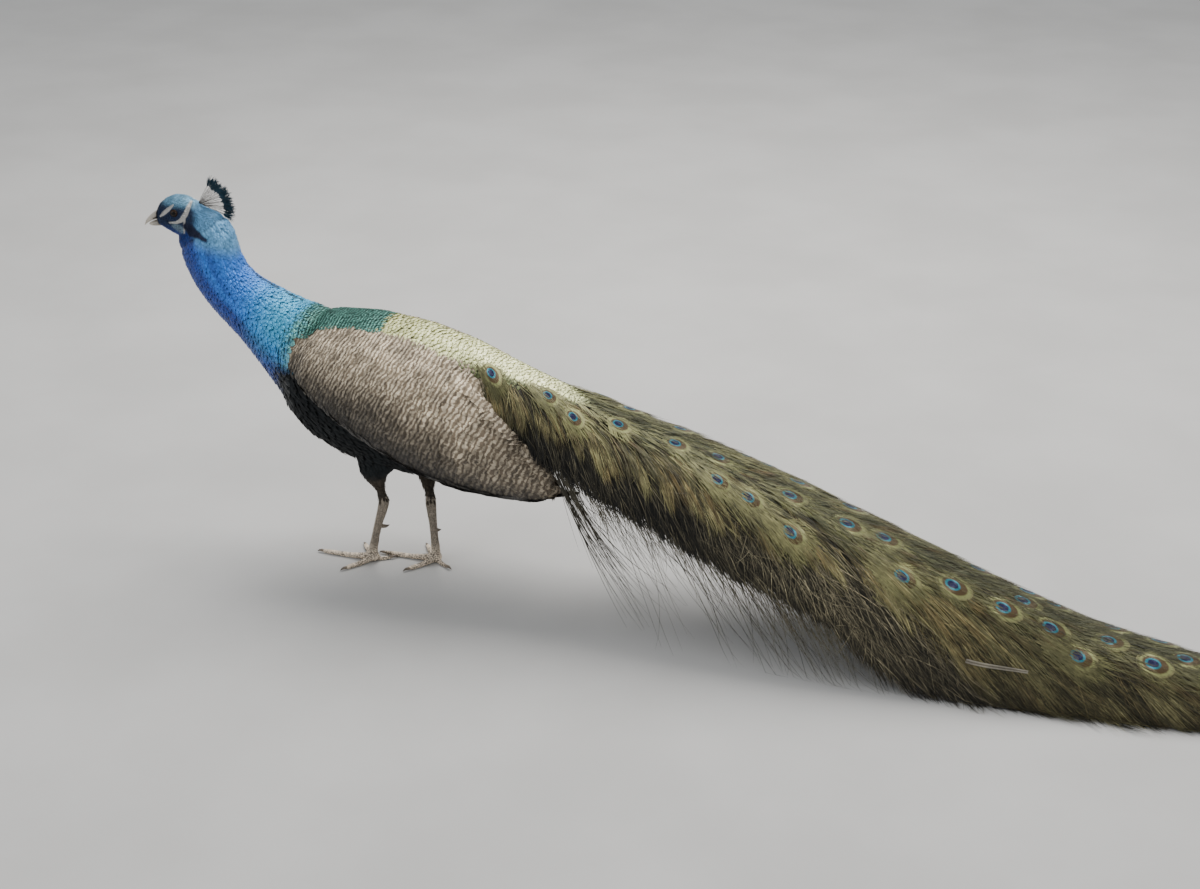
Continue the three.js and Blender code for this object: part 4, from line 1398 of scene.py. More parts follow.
class PEACOCK_OT_train(bpy.types.Operator):
    """Lay the train: an under layer, combed locks of loose barbs, eyes, hanging wisps and one bare quill"""
    bl_idname = "peacock.train"
    bl_label = "Train"
    # The lengths of train that get pieces of their own: first x, last x and share of the locks.
    LENGTHS = ((112, 480, 0.8), (480, 800, 1.0), (800, 1120, 1.0), (1120, 1468, 0.8))
    # The layers: name, locks, barbs in each, height at root and tip, range of brightness, width of a barb,
    # share of the usual length, rows of points, and how far the barbs stray in degrees.
    # The under and middle layers are darker: painted shade beneath the lit locks.
    LAYERS = (
        ("under", 1700, 4, (-4.0, 0.0), (0.12, 0.30), 2.0, 1.0, 5, 4),
        ("middle", 520, 11, (-2.6, 1.6), (0.15, 0.75), 0.90, 1.1, 6, 6),
        ("locks", 260, 13, (-2.0, 4.8), (1.0, 2.0), 1.10, 1.55, 9, 4),
        ("strays", 2100, 1, (-1.0, 5.0), (0.4, 1.9), 0.75, 1.25, 9, 14),
    )
    # How far down the side the lit barbs reach along the train; below them go dark barbs, painted shade in
    # the hollow.
    LIT = [
        (180, 1.05), (206, 0.97), (248, 0.80), (299, 0.71), (450, 0.67), (540, 0.66), (587, 0.69),
        (640, 0.63), (677, 0.55), (722, 0.51), (779, 0.53), (815, 0.61), (863, 0.74), (930, 0.95),
        (1010, 1.6),
    ]
    # The wisps: how many, their middle and spread along the bird, where on the side they leave, length, and
    # the mean and spread of their angle and bend in degrees, width and range of brightness.
    WISPS = (
        (620, 610, 310, (0.80, 1.0), (25, 88), (46, 12), (16, 16), 0.75, (0.8, 4.5)),
        (64, 292, 14, (0.86, 0.98), (80, 240), (57, 6), (-34, 16), 1.0, (0.8, 2.0)),
        (130, 500, 200, (0.88, 1.0), (80, 220), (42, 13), (-10, 24), 0.75, (0.8, 4.0)),
    )

    def execute(self, context):
        self.ground = surface("train_bed")
        self.rng = np.random.default_rng(21)
        material = barb_material("train_barbs")
        self.eyes = Coat(self.ground)
        for number, (first, last, share) in enumerate(self.LENGTHS, 1):
            for name, count, *layer in self.LAYERS:
                coat = Coat(self.ground)
                x, a = self.sow(int(count * share), first, last)
                self.comb(coat, x, a, *layer)
                coat.finish(f"train_{name}_{number}", material, "train_feathers")
        coat = Coat(self.ground)
        for x, a, cover in TRAIN_EYES:
            for side in (-1, 1):
                if side < 0:
                    self.eye(coat, x, -a, cover)
                elif a > 0.06:
                    place = x + self.rng.uniform(-14, 24), a + 0.12 * float(smooth(0.2, 0.08, a))
                    if place[0] > back_end(place[1]) + 20:
                        self.eye(coat, *place, cover)
        coat.finish("train_eye_barbs", material, "train_feathers")
        self.eyes.finish("train_eyes", eyespot_material(), "train_feathers")
        coat = Coat(self.ground)
        self.wisps(coat)
        self.fuzz(coat)
        self.quill(coat)
        coat.finish("train_fringe", material, "train_feathers")
        return {"FINISHED"}

    def sow(self, number, first, last):
        """Random places over the train, leaving the bright back bare."""
        rng = self.rng
        x = rng.uniform(first, last, number * 2)
        a = rng.uniform(-1, 1, number * 2)
        girth = train_frame(x, a)[3]
        keep = rng.random(number * 2) < girth / 190
        keep &= x > back_end(a)
        return x[keep], a[keep]

    @staticmethod
    def sheaf(x, a, stretch):
        """How lit the sheaf of barbs at each place is painted, from 0 to 1: lit sheaves with painted shade
        between them run back and down.
        """
        run = x - np.abs(a) * stretch * mix(0.8, 1.25, smooth(260, 900, x)) + 37 * (a > 0)
        wave = np.sin(run / 8.5 + 2.2 * np.sin(run / 29)) + 0.6 * np.sin(run / 4.9 + 1.5 * np.sin(run / 17))
        return smooth(-0.8, 0.9, wave)

    def comb(self, coat, x, a, per, height, light, thick, longer, rows, wild):
        """Locks of barbs combed back and down from the ridge, each lock drawn together at its tip.

        Near the body the lit locks end half way down, over a hollow of barbs painted dark as shade; further
        back they reach the floor."""
        rng = self.rng
        single, full = per == 1, per > 12
        far = smooth(0.03, 0.45, np.abs(a))
        lean = mix(5, mix(44, 29, smooth(240, 900, x)), far)
        tangle = single * smooth(0.45, 0.6, np.abs(a)) * smooth(470, 560, x) * smooth(900, 800, x)
        angle = np.radians(lean + rng.normal(0, wild, len(x)) * (1 + 0.9 * tangle))
        bend = np.radians(mix(3, mix(22, 14, smooth(300, 900, x)), far) + rng.normal(0, wild, len(x)))
        length = mix(42, mix(54, 100, smooth(280, 850, x)), far)
        length = length * mix(1, 0.62, smooth(1100, 1400, x)) * longer
        length = np.minimum(length * rng.uniform(0.7, 1.2, len(x)), TRAIN_END + 10 - x)
        stretch = train_frame(x, a)[3]
        slope = np.maximum(np.sin(angle + bend * 0.5), 0.1)
        past = x + 0.6 * length
        hem = along(TRAIN_HEM, past)
        rise = np.maximum(along(TRAIN_TOP, past) - hem, 6)
        to_floor = np.maximum(hem - 3, 0) / (rise * 1.57)
        lowest = 1.0 + mix(-0.05 * smooth(520, 640, x), to_floor, smooth(700, 770, x))
        lowest = lowest + rng.uniform(-0.08, 0.08, len(x))
        if full:
            lowest = lowest + rng.uniform(0.0, 0.16, len(x)) * smooth(780, 860, x)
        length = np.minimum(length, (lowest - np.abs(a)) * stretch / slope)
        bright = self.sheaf(x, a, stretch)
        limit = level(self.LIT, x + 0.4 * length) + 0.10 * (bright - 0.5)
        limit = limit + rng.normal(0, 0.035, len(x))
        shaded = np.abs(a) > limit - 0.16
        reach = np.maximum(limit - np.abs(a), 0.12) * stretch / slope
        length = np.where(shaded, length, np.minimum(length, reach))
        keep = length > 11
        if full:
            keep &= (~shaded | (rng.random(len(x)) < 0.10)) & (rng.random(len(x)) < 0.25 + bright + (1 - far))
        x, a, angle, bend, length, far, shaded, bright = (
            v[keep] for v in (x, a, angle, bend, length, far, shaded, bright))
        number = len(x)
        sign = np.where(a < 0, -1, 1)
        start = height[0] - 3.0 * smooth(60, 0, x - back_end(a))
        end = height[1] + 6.5 * smooth(0.45, 0.8, np.abs(a)) * smooth(300, 250, x)
        spread = mix(5, 19 if full else 15, far) * rng.uniform(0.6, 1.3, number)
        pull = rng.uniform(0.55, 0.95, number)
        lift = rng.normal(0, 0.8, number)
        # Painted light: each lock is lit or shaded by its sheaf, strands on the ridge next to the back are
        # brighter, the lower side is darker, partly the barbs' own darker colour and partly painted shade,
        # and strands in the hollow take its painted shade. The train also grows darker towards its end.
        side = tinged("barb_top", "barb_side", smooth(0.05, 0.42, np.abs(a)))
        warm = rng.random(number) ** 2
        base = tinged(side, "barb_bronze", 0.55 * warm) * rng.uniform(*light, (number, 1))
        base = base * (mix(1.0, 0.58, smooth(780, 960, x)) * mix(1.0, 0.34 + 0.98 * bright, far))[:, None]
        base = base * mix(1.0, mix(1.8, 1.0, smooth(300, 380, x)), 1 - far)[:, None]
        low = mix(0.7, mix(0.1, 0.78, smooth(740, 860, x)), smooth(260, 360, x))
        base = base * (1 - low * smooth(0.45, 0.90, np.abs(a)))[:, None]
        hollow = colour("barb_hollow") * (0.3 + (10.5 if single else 1.2) * rng.random((number, 1)) ** 2)
        hollow = hollow * (mix(0.7, 2.2, smooth(470, 650, x)) * mix(1.0, 0.5, smooth(690, 800, x)))[:, None]
        base = np.where(shaded[:, None], hollow, base)
        order = (np.arange(per) + 0.5) / per - 0.5
        t = np.linspace(0, 1, rows)[None]
        # Along each strand: darker at the root, painted shade under the other barbs, brightest a third of the
        # way out and dimmer to the tip.
        tip = mix(0.35, 0.70, smooth(450, 800, x))[:, None]
        fade = np.where(t < 0.35, mix(0.40, 1.12, t / 0.35), mix(1.12, tip, (t - 0.35) / 0.65))
        fade = fade[..., None, None]
        for k in range(per):
            spine, facing = strands(
                x + order[k] * spread + rng.normal(0, 0.9, number), a + rng.normal(0, 0.010, number), sign,
                length * rng.uniform(0.8, 1.08, number), angle + rng.normal(0, 0.035, number),
                bend + rng.normal(0, 0.05, number), start + lift + rng.uniform(-0.6, 0.6, number),
                end + lift + rng.uniform(-1.0, 1.0, number), rows, order[k] * spread * pull)
            twist = rng.normal(0, 0.35, (number, 1, 1))
            facing = unit(facing + np.cross(facing, unit(np.gradient(spine, axis=1))) * twist)
            width = thick * rng.uniform(0.6, 1.4, (number, 1)) * MM
            tone = base * rng.uniform(0.55, 1.30, (number, 1))
            coat.add_ribbons(spine, facing, width, 0.12, tone[:, None, None] * fade)

    def eye(self, coat, x, a, cover):
        """One eye: its disc, the barbs that sweep to it, the fringe round it and the barbs fallen over it."""
        rng = self.rng
        grow = float(smooth(230, 760, x)) * (1 - 0.45 * float(smooth(1150, 1420, x)))
        long, wide = mix(18.0, 27.0, grow), mix(14.0, 19.5, grow)
        lift = 2.9 + rng.uniform(-0.3, 0.4)
        stretch = float(train_frame(x, a)[3])
        tilt = math.radians(mix(0, mix(30, 16, smooth(250, 850, x)), smooth(0.03, 0.4, abs(a)))) * np.sign(a)
        radius, round_ = np.meshgrid([0.02, 0.16, 0.3, 0.42, 0.54, 0.68, 0.8, 0.9, 1.0],
                                     np.linspace(0, 2 * math.pi, 25))
        vane = np.stack([radius * np.sin(round_) / 2 + 0.5, radius * np.cos(round_) / 2 + 0.5], -1)

        def place(forward, aside):
            return (x + forward * math.cos(tilt) - aside * math.sin(tilt),
                    a + (forward * math.sin(tilt) + aside * math.cos(tilt)) / stretch)

        px, pa = place(radius * np.cos(round_) * long, radius * np.sin(round_) * wide)
        sag = 1.4 * (1 - radius**2) + 0.8 * radius * np.cos(round_)
        points = train_frame(px, pa, lift + sag)[0]
        self.eyes.add(points[None], vane[None], colour("eyespot_gold"), roots=points[:1, 0], patch=0.020)

        def spray(forward, aside, angle, length, start, end, thick, tint):
            px, pa = place(forward, aside)
            keep = px > back_end(pa) - 6
            px, pa, aside, angle, length = (v[keep] for v in (px, pa, aside, angle, length))
            start, end = (np.broadcast_to(v, keep.shape)[keep] for v in (start, end))
            way = np.where(aside >= 0, 1, -1)
            spine, facing = strands(px, pa, 1, length, tilt + angle * way, 0.10 * way * np.abs(angle), start,
                                    end, rows=4)
            width = thick * rng.uniform(0.7, 1.3, (len(px), 1)) * MM
            coat.add_ribbons(spine, facing, width, 0.2, tint * rng.uniform(0.65, 1.3, (len(px), 1)))

        far = float(smooth(0.05, 0.40, abs(a)))
        dim = float(mix(0.55, 1.0, smooth(180, 300, x)) * mix(1.0, 0.62, smooth(780, 960, x)))
        own = tinged(tinged("barb_top", "barb_side", 0.35 + 0.65 * far), "eye_fringe", 0.4) * dim
        count = 84
        forward = rng.uniform(-3.6 * long, 0.0, count)
        aside = rng.choice((-1.0, 1.0), count) * (0.6 + 0.25 * rng.random(count))
        spray(forward, aside * 2, np.radians(rng.uniform(17, 30, count)),
              mix(26, 40, grow) * rng.uniform(0.7, 1.2, count), 1.2, 2.2 + rng.uniform(-0.5, 0.6, count), 1.1,
              own)
        count = 66
        turn = np.linspace(0, 2 * math.pi, count, endpoint=False) + rng.uniform(-0.05, 0.05, count)
        ahead = 0.93 * long * np.cos(turn)
        swept = np.abs(np.arctan2(np.sin(turn) * 0.7, np.cos(turn) * 0.5 + 0.75))
        length = mix(10, 17, grow) * rng.uniform(0.75, 1.3, count) * (1.2 + 0.4 * np.cos(turn))
        spray(ahead, 0.93 * wide * np.sin(turn), swept, length, lift, lift - 1.5, 1.2,
              mix(colour("eye_fringe") * dim, own, 0.4))
        count = int(130 * cover)
        if count:
            forward = rng.uniform(-2.2 * long, 0.3 * long, count)
            aside = rng.normal(-0.5, 0.6, count) * wide
            spray(forward, aside, np.radians(rng.uniform(-16, 20, count)), rng.uniform(26, 46, count),
                  lift + 0.2, lift + 1.8, 1.1, own * 0.9)

    def wisps(self, coat):
        """Single thin barbs that hang from the hem, and a few long curved ones behind the wing tips."""
        rng = self.rng
        for number, middle, width, rim, length, angle, bend, thick, tone in self.WISPS:
            for sign in (-1, 1):
                x = middle + rng.uniform(-width, width, number)
                a = sign * rng.uniform(*rim, number)
                tint = colour("barb_hollow") * rng.uniform(*tone, (number, 1))
                long = rng.uniform(*length, number)
                turn, curl = (np.radians(rng.normal(*spread, number)) for spread in (angle, bend))
                spine, facing = strands(x, a, sign, long, turn, curl, rng.uniform(-5, 0, number), 0.0, rows=8)
                coat.add_ribbons(spine, facing, thick * rng.uniform(0.7, 1.2, (number, 1)) * MM, 0.25, tint)

    def fuzz(self, coat):
        """Short loose barbs that stand off the ridge and soften its outline."""
        rng = self.rng
        number = 1900
        x = rng.uniform(300, 1440, number)
        a = rng.normal(0, 0.07, number)
        spine, facing = strands(x, a, np.where(rng.random(number) < 0.5, -1, 1), rng.uniform(22, 44, number),
                                np.radians(rng.uniform(2, 24, number)), np.radians(rng.normal(6, 8, number)),
                                rng.uniform(-1, 2, number), rng.uniform(2.5, 11.0, number), rows=6)
        tone = tinged("barb_top", "barb_side", 0.3 * rng.random(number))
        tone = tone * mix(1.0, 0.62, smooth(780, 960, x))[:, None]
        coat.add_ribbons(spine, facing, 0.6 * MM, 0.2, tone)

    @staticmethod
    def quill(coat):
        """One bare pale quill that lies across the side of the train."""
        t = np.linspace(0, 1, 8)
        spine, _, normal, _ = train_frame(mix(902, 986, t), mix(-0.735, -0.675, t), 5.5)
        across = unit(np.cross(unit(np.gradient(spine, axis=0)), normal))
        for turn in (0, math.pi / 3, -math.pi / 3):
            facing = normal * math.cos(turn) + across * math.sin(turn)
            points, vane = ribbons(spine[None], facing[None], 6.0 * MM, 0.70)
            coat.add(points, vane, colour("quill"), roots=points[:, 0, 0])


class PEACOCK_OT_tail(bpy.types.Operator):
    """Lay the stiff brown tail feathers in a fan under the train"""
    bl_idname = "peacock.tail"
    bl_label = "Tail feathers"

    def execute(self, context):
        rng = np.random.default_rng(31)
        ground = surface("train_bed")
        low, high = (bird(np.array([c]))[0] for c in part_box("tail"))
        coat = Coat(ground)
        rows, columns, number = 14, 6, 20
        v, u = np.linspace(0, 1, rows + 1), np.linspace(-1, 1, columns + 1)
        for k in range(number):
            share = (k + 0.5) / number * 2 - 1
            x = mix(low[0] - 30, high[0] - 30 * share**2 - rng.uniform(0, 5), v)
            layer = 1.1 * (number / 2 - abs(k - number / 2))
            z = mix(high[2] - 2, low[2] + 38, v) - 24 * v * share**2 - layer
            y = share * mix(14, 58, v)
            rounded = np.sqrt(np.maximum(1 - ((v - 0.85) / 0.16) ** 2, 0))
            half = 17 * np.where(v < 0.85, 0.5 + 0.5 * v / 0.85, rounded)
            spine = np.stack([x, y, z + 6 * np.sin(v * 3)], -1)
            forward = unit(np.gradient(spine, axis=0))
            across = unit(np.cross(forward, [0, 0, 1.0]))
            points = spine[:, None] + across[:, None] * (u[None] * half[:, None])[..., None]
            points[..., 2] -= u**2 * 2.2
            points = (points + STANCE) * MM
            tint = colour("tail") * rng.uniform(0.8, 1.2)
            coat.add(points[None], vane_grid((u + 1) / 2, v), tint, roots=points[:1, 0])
        material = vane_material("tail_feathers", barbs=70, shaft=0.5, root_dark=0.7, roughness=0.6)
        tail = coat.finish("tail_feathers", material, "tail_feathers")
        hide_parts("tail")
        return {"FINISHED"}


# ---------------------------------------------------------------- head pieces

class PEACOCK_OT_crest(bpy.types.Operator):
    """Stand the crest up: thin bare shafts with a small fan of barbs on each end"""
    bl_idname = "peacock.crest"
    bl_label = "Crest"

    def execute(self, context):
        rng = np.random.default_rng(41)
        ground = surface("skin")
        coat = Coat(ground)
        number = 24
        for k in range(number):
            share = k / (number - 1)
            tilt = math.radians(mix(60, -20, share) + rng.uniform(-1.5, 1.5))
            lean = math.radians(rng.uniform(-6, 6))
            length = 41 + rng.uniform(-2, 2)
            t = np.linspace(0, 1, 7)
            way = np.array([math.cos(tilt), math.sin(lean), math.sin(tilt)])
            start = CREST_ROOT + np.array([mix(-4, 4, share), rng.uniform(-2.2, 2.2), mix(1, -3, share)])
            spine = start + way * (t * length)[:, None]
            spine[:, 2] += -2.0 * t**2
            for turn in (0, math.pi / 2):
                facing = np.tile([math.sin(turn), math.cos(turn), 0.0], (7, 1))
                points, vane = ribbons(self.placed(spine)[None], facing[None], 0.55 * MM, 0.8)
                coat.add(points, vane, colour("crest_shaft"), roots=points[:, 0, 0])
            for count, shares, lengths, width, splay, tint in (
                    (26, (0.12, 0.85), (2, 4.5), 0.18, 50, colour("crest_shaft") * 0.6),
                    (46, (0.76, 1.02), (6, 11), 0.70, 36, colour("crest"))):
                self.tuft(coat, spine[0], spine[-1] - spine[0], rng.uniform(*shares, count),
                          rng.uniform(*lengths, count), width, splay, tint, rng)
        material = barb_material("crest", 0.35, 0.4)
        crest = coat.finish("crest_plumes", material, "blue_feathers")
        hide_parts("crest")
        return {"FINISHED"}

    @staticmethod
    def placed(points):
        """Places in the unturned head, in bird millimetres, as metres in the row frame."""
        p = np.asarray(points) - (HEAD_PIVOT, 0, 0)
        return (head_turned(p) + (HEAD_PIVOT, 0, 0) + STANCE) * MM

    def tuft(self, coat, start, run, share, length, width, splay, tint, rng):
        """Fine barbs on both sides of one shaft, each at its share of the run from the start."""
        number = len(share)
        root = start + run * np.asarray(share)[:, None]
        ahead = unit(run)
        aside = unit(np.cross(ahead, [0, 1.0, 0]))
        sign = np.where(rng.random(number) < 0.5, -1, 1)
        angle = np.radians(splay * rng.uniform(0.2, 1.0, number)) * sign
        way = ahead * np.cos(angle)[:, None] + aside * np.sin(angle)[:, None]
        way = unit(way + np.array([0, 1.0, 0]) * rng.normal(0, 0.22, (number, 1)))
        t = np.linspace(0, 1, 4)
        spine = root[:, None] + way[:, None] * (t[None] * np.asarray(length)[:, None])[..., None]
        placed = self.placed(spine.reshape(-1, 3)).reshape(spine.shape)
        facing = np.tile(head_turned([[0.2, 1.0, 0.2]]), (number, 4, 1))
        facing = unit(facing + rng.normal(0, 0.3, (number, 1, 3)))
        coat.add_ribbons(placed, facing, width * MM, 0.4, tint * rng.uniform(0.6, 1.4, (number, 1)))


def refined(name, node, voxel, rounds, shape=None):
    """A smooth fine copy of a small hard CAD node."""
    piece = copy_of(name, [node])
    remesh(piece, voxel, rounds, 0.45)
    if shape is not None:
        move_vertices(piece, shape(vertices(piece), vertex_normals(piece)))
    piece.data.shade_smooth()
    return piece


class PEACOCK_OT_bill(bpy.types.Operator):
    """Make the horn bill with its nostrils, and the glossy eyes"""
    bl_idname = "peacock.bill"
    bl_label = "Bill and eyes"

    @staticmethod
    def nostril(co, normal):
        """A slit nostril under a soft flap on each side, near the base of the upper bill."""
        q = head_local(co)
        side = smooth(3.0, 5.0, np.abs(q[:, 1]))
        slit = stroke(q, NOSTRIL, 0.8) * side
        flap = stroke(q, [(-385, 534, 1.2), (-375, 537.5, 1.2)], 1.5) * side
        ridge = np.exp(-(q[:, 1] / 1.6) ** 2) * smooth(520, 540, q[:, 2])
        return co + normal * ((flap * 0.5 + ridge * 0.25 - slit * 1.1) * MM)[:, None]

    def execute(self, context):
        material = horn_material("bill")
        for half, shape in (("upper", self.nostril), ("lower", None)):
            node = f"{half}_bill"
            piece = refined(f"bill_{half}", node, 0.00045, 6, shape)
            q = head_local(vertices(piece))
            dusk = np.maximum(smooth(-392, -376, q[:, 0]), 0.6 * smooth(530, 540, q[:, 2]))
            hole = stroke(q, NOSTRIL, 0.8) * (np.abs(q[:, 1]) > 2.5)
            set_tint(piece, tinged(tinged("horn", "horn_dark", 0.75 * dusk), colour("claw") * 0.2, hole))
            dress(piece, material)
            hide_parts(node)
        for side in SIDES:
            centre, radius = eye_place(side)
            deselect()
            bpy.ops.mesh.primitive_uv_sphere_add(segments=48, ring_count=32, radius=radius,
                                                 location=(0, 0, 0))
            ball = bpy.context.active_object
            ball.name = f"eyeball_{side}"
            ball.data.transform(Matrix.Translation(centre))
            ball.data.shade_smooth()
            dress(ball, eye_material(side))
            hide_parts(f"eye_{side}")
        return {"FINISHED"}


class PEACOCK_OT_claws(bpy.types.Operator):
    """Make the claws and spurs smooth horn"""
    bl_idname = "peacock.claws"
    bl_label = "Claws and spurs"

    def execute(self, context):
        material = horn_material("claw_horn")
        for side in SIDES:
            top, foot = shank_ends(side)
            for node in [f"claw_{toe}_{side}" for toe in TOES] + [f"spur_{side}"]:
                middle = vertices(frame["nodes"][node]).mean(0)
                level = np.clip((middle[2] - foot[2]) / (top[2] - foot[2]), 0, 1)
                base = mix(foot, top, level) if "spur" in node else np.array([*foot[:2], middle[2]])
                inwards = unit(base - middle)
                piece = refined(f"{node}_horn", node, 0.0004, 4)
                co = vertices(piece)
                run = (co - middle) @ inwards
                root = smooth(run.max() - 0.0022, run.max() - 0.0004, run)[:, None]
                flat = co - middle - run[:, None] * inwards
                move_vertices(piece, co + root * (inwards * 0.0030 - flat * 0.2))
                shade = smooth(run.min(), run.max(), run)
                set_tint(piece, tinged(colour("claw") * 0.7, colour("claw") * 1.7, shade))
                dress(piece, material)
                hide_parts(node)
        return {"FINISHED"}


# ---------------------------------------------------------------- stage

class PEACOCK_OT_stage(bpy.types.Operator):
    """Set the pale floor, the soft lights and the camera"""
    bl_idname = "peacock.stage"
    bl_label = "Stage"

    def execute(self, context):
        scene = context.scene
        deselect()
        bpy.ops.mesh.primitive_plane_add(size=14, location=(0, 0, 0))
        floor = context.active_object
        floor.name = "floor"
        floor.data.materials.append(floor_material())

        camera = bpy.data.objects.new("camera", bpy.data.cameras.new("camera"))
        scene.collection.objects.link(camera)
        camera.data.lens = CAMERA_LENS
        camera.data.sensor_width = 36
        camera.location = at(*CAMERA_PLACE)
        camera.rotation_euler = (CAMERA_TILT, 0, CAMERA_TURN)
        scene.camera = camera

        world = bpy.data.worlds.new("studio")
        scene.world = world
        world.use_nodes = True
        sky = world.node_tree.nodes["Background"].inputs
        sky["Color"].default_value = (0.93, 0.96, 1.0, 1)
        sky["Strength"].default_value = 0.55
        lamps = (
            ("key", (-0.3, 1.3, 2.9), 2.2, 105, (1.0, 0.98, 0.95)),
            ("fill", (-2.6, -2.6, 1.9), 2.6, 22, (0.94, 0.97, 1.0)),
            ("side", (3.2, -1.4, 2.2), 2.2, 26, (1.0, 0.99, 0.97)),
        )
        for name, place, size, watts, tone in lamps:
            light = bpy.data.lights.new(name, "AREA")
            light.size = size
            light.energy = watts
            light.color = tone
            lamp = bpy.data.objects.new(name, light)
            scene.collection.objects.link(lamp)
            lamp.location = place
            aim = Vector((0, 0, 0.2)) - Vector(place)
            lamp.rotation_euler = aim.to_track_quat("-Z", "Y").to_euler()
        return {"FINISHED"}


# ---------------------------------------------------------------- what a user may change

def length_property(name, description, default):
    return bpy.props.FloatProperty(name=name, description=description, default=default, min=0.0005, max=0.2,
                                   subtype="DISTANCE", unit="LENGTH", precision=4)


def colour_property(name, description, default):
    return bpy.props.FloatVectorProperty(name=name, description=description, default=default, size=3, min=0,
                                         max=1, subtype="COLOR")


class PeacockSizes(bpy.types.PropertyGroup):
    head_feather: length_property("Head feather", "Length of the feathers of the face", 0.0042)
    neck_feather: length_property("Neck feather", "Length of the feathers of the neck", 0.0125)
    back_feather: length_property("Back feather", "Length of the scale-like feathers of the back", 0.0150)
    wing_feather: length_property("Wing feather", "Length of the middle wing feathers", 0.034)
    belly_feather: length_property("Belly feather", "Length of the soft feathers of the belly", 0.024)


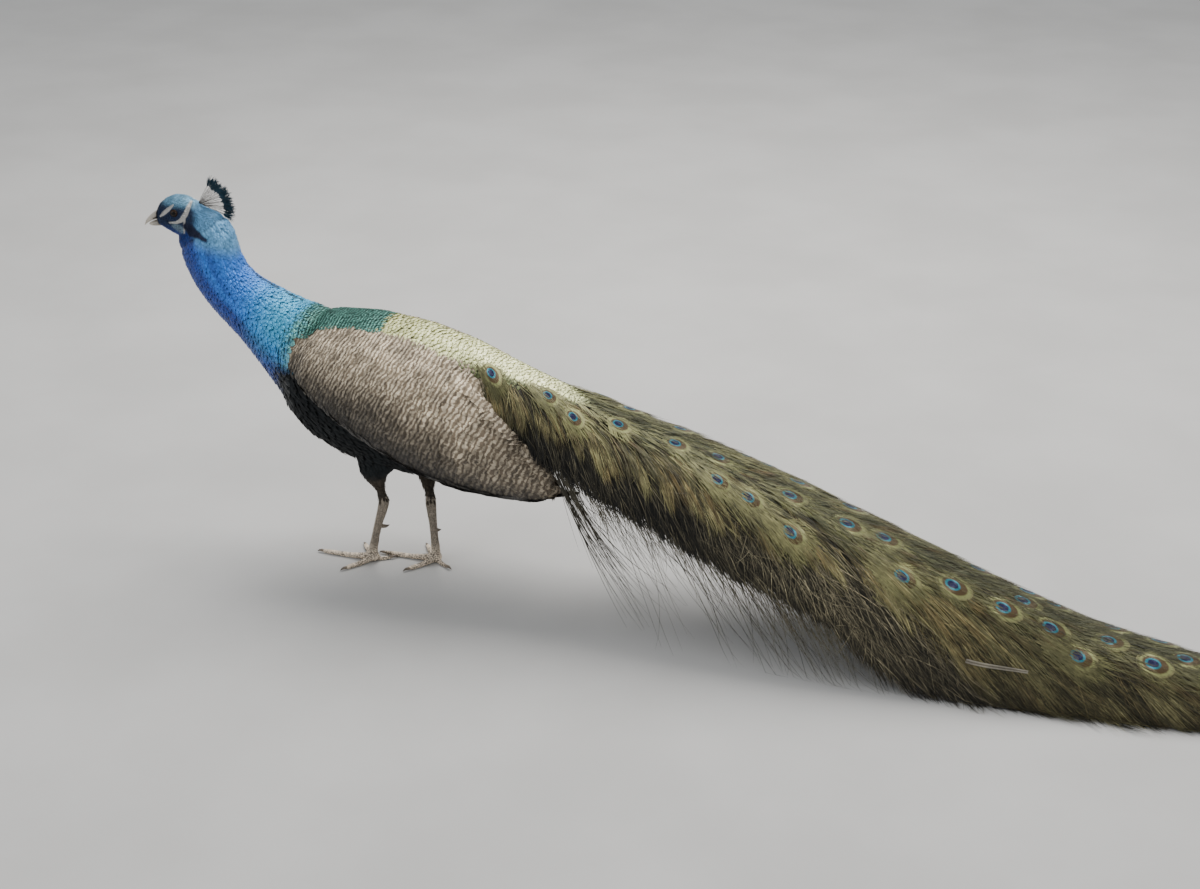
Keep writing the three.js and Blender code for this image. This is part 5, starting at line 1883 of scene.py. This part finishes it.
class PeacockColours(bpy.types.PropertyGroup):
    neck: colour_property("Neck", "Side of the neck", (0.035, 0.205, 0.72))
    # The darker blue of the throat, also used as painted shade on the front of the neck.
    neck_front: colour_property("Neck front", "Throat and front of the neck", (0.014, 0.055, 0.30))
    neck_base: colour_property("Neck base", "Where the neck meets the back", (0.060, 0.400, 0.66))
    face: colour_property("Face", "Feathers of the face", (0.010, 0.030, 0.090))
    # Crown and nape: their light blue holds a painted highlight of the sheen.
    crown: colour_property("Crown", "Top of the head", (0.22, 0.48, 0.68))
    nape: colour_property("Nape", "Back of the head", (0.15, 0.40, 0.68))
    ear: colour_property("Ear", "Cheek under the eye", (0.22, 0.33, 0.40))
    bare_skin: colour_property("Bare skin", "White skin of the face", (0.80, 0.78, 0.74))
    mantle: colour_property("Mantle", "Upper back", (0.185, 0.470, 0.390))
    # The back's colour holds a painted highlight along the top; the side colour below is painted shade on the
    # sides.
    back: colour_property("Back", "Bright scales of the lower back", (0.92, 0.93, 0.48))
    back_side_shade: colour_property("Back side", "Scales at the side of the back", (0.13, 0.15, 0.055))
    wing: colour_property("Wing", "Pale ground of the wing", (0.70, 0.59, 0.43))
    # The colour of the wing's lower edge is painted shade where the wing turns under.
    wing_edge: colour_property("Wing edge", "Lower edge of the wing", (0.050, 0.042, 0.032))
    bar: colour_property("Wing bars", "How dark the bars are beside the pale ground", (0.27, 0.245, 0.22))
    dark: colour_property("Belly", "Breast, belly and flanks", (0.006, 0.008, 0.009))
    thigh: colour_property("Thigh", "Thigh feathers", (0.070, 0.056, 0.042))
    leg: colour_property("Leg", "Scales of the legs", (0.34, 0.285, 0.22))
    horn: colour_property("Bill", "Base of the bill", (0.55, 0.50, 0.42))
    horn_dark: colour_property("Bill shade", "Darker horn of the bill", (0.20, 0.175, 0.14))
    claw: colour_property("Claw", "Claws and spurs", (0.15, 0.12, 0.09))
    # Painted shade deep inside the train.
    train_bed: colour_property("Train bed", "Dark depth of the train", (0.010, 0.010, 0.006))
    barb_top: colour_property("Top barbs", "Barbs on the ridge of the train", (0.055, 0.063, 0.022))
    barb_side: colour_property("Side barbs", "Loose barbs on the sides", (0.25, 0.23, 0.105))
    barb_bronze: colour_property("Bronze barbs", "Warmer barbs among the others", (0.16, 0.080, 0.026))
    barb_hollow: colour_property("Hollow barbs", "Barbs in the shade under the side", (0.030, 0.026, 0.016))
    eye_fringe: colour_property("Eye fringe", "Barbs round an eyespot", (0.29, 0.29, 0.11))
    eyespot_gold: colour_property("Eyespot gold", "Outer ring", (0.30, 0.31, 0.12))
    eyespot_bronze: colour_property("Eyespot bronze", "Broad ring", (0.095, 0.058, 0.022))
    eyespot_blue: colour_property("Eyespot blue", "Turquoise ring", (0.015, 0.20, 0.26))
    eyespot_heart: colour_property("Eyespot heart", "Dark middle", (0.008, 0.008, 0.060))
    quill: colour_property("Quill", "Bare quill on the side of the train", (0.34, 0.31, 0.25))
    tail: colour_property("Tail", "Stiff tail feathers", (0.10, 0.075, 0.050))
    crest: colour_property("Crest", "Fans of the crest", (0.008, 0.040, 0.065))
    crest_shaft: colour_property("Crest shaft", "Bare shafts of the crest", (0.10, 0.09, 0.08))


STEPS = (
    PEACOCK_OT_stage, PEACOCK_OT_skin, PEACOCK_OT_train_bed, PEACOCK_OT_head_feathers,
    PEACOCK_OT_neck_feathers, PEACOCK_OT_back_feathers, PEACOCK_OT_wing_feathers, PEACOCK_OT_belly_feathers,
    PEACOCK_OT_leg_scales, PEACOCK_OT_tail, PEACOCK_OT_train, PEACOCK_OT_crest, PEACOCK_OT_bill,
    PEACOCK_OT_claws,
)


class PEACOCK_PT_panel(bpy.types.Panel):
    """The steps that dress the peacock, with its sizes and colours"""
    bl_idname = "PEACOCK_PT_panel"
    bl_label = "Peacock"
    bl_space_type = "VIEW_3D"
    bl_region_type = "UI"
    bl_category = "Peacock"

    def draw(self, context):
        for step in STEPS:
            self.layout.operator(step.bl_idname)
        for group in (context.scene.peacock_sizes, context.scene.peacock_colours):
            column = self.layout.column()
            for name in group.__annotations__:
                column.prop(group, name)


CLASSES = (PeacockSizes, PeacockColours, *STEPS, PEACOCK_PT_panel)


def register():
    for made in CLASSES:
        bpy.utils.register_class(made)
    bpy.types.Scene.peacock_sizes = bpy.props.PointerProperty(type=PeacockSizes)
    bpy.types.Scene.peacock_colours = bpy.props.PointerProperty(type=PeacockColours)


def unregister():
    del bpy.types.Scene.peacock_colours
    del bpy.types.Scene.peacock_sizes
    for made in reversed(CLASSES):
        bpy.utils.unregister_class(made)


def main():
    register()
    for step in STEPS:
        group, name = step.bl_idname.split(".")
        getattr(getattr(bpy.ops, group), name)()


if __name__ == "__main__":
    main()
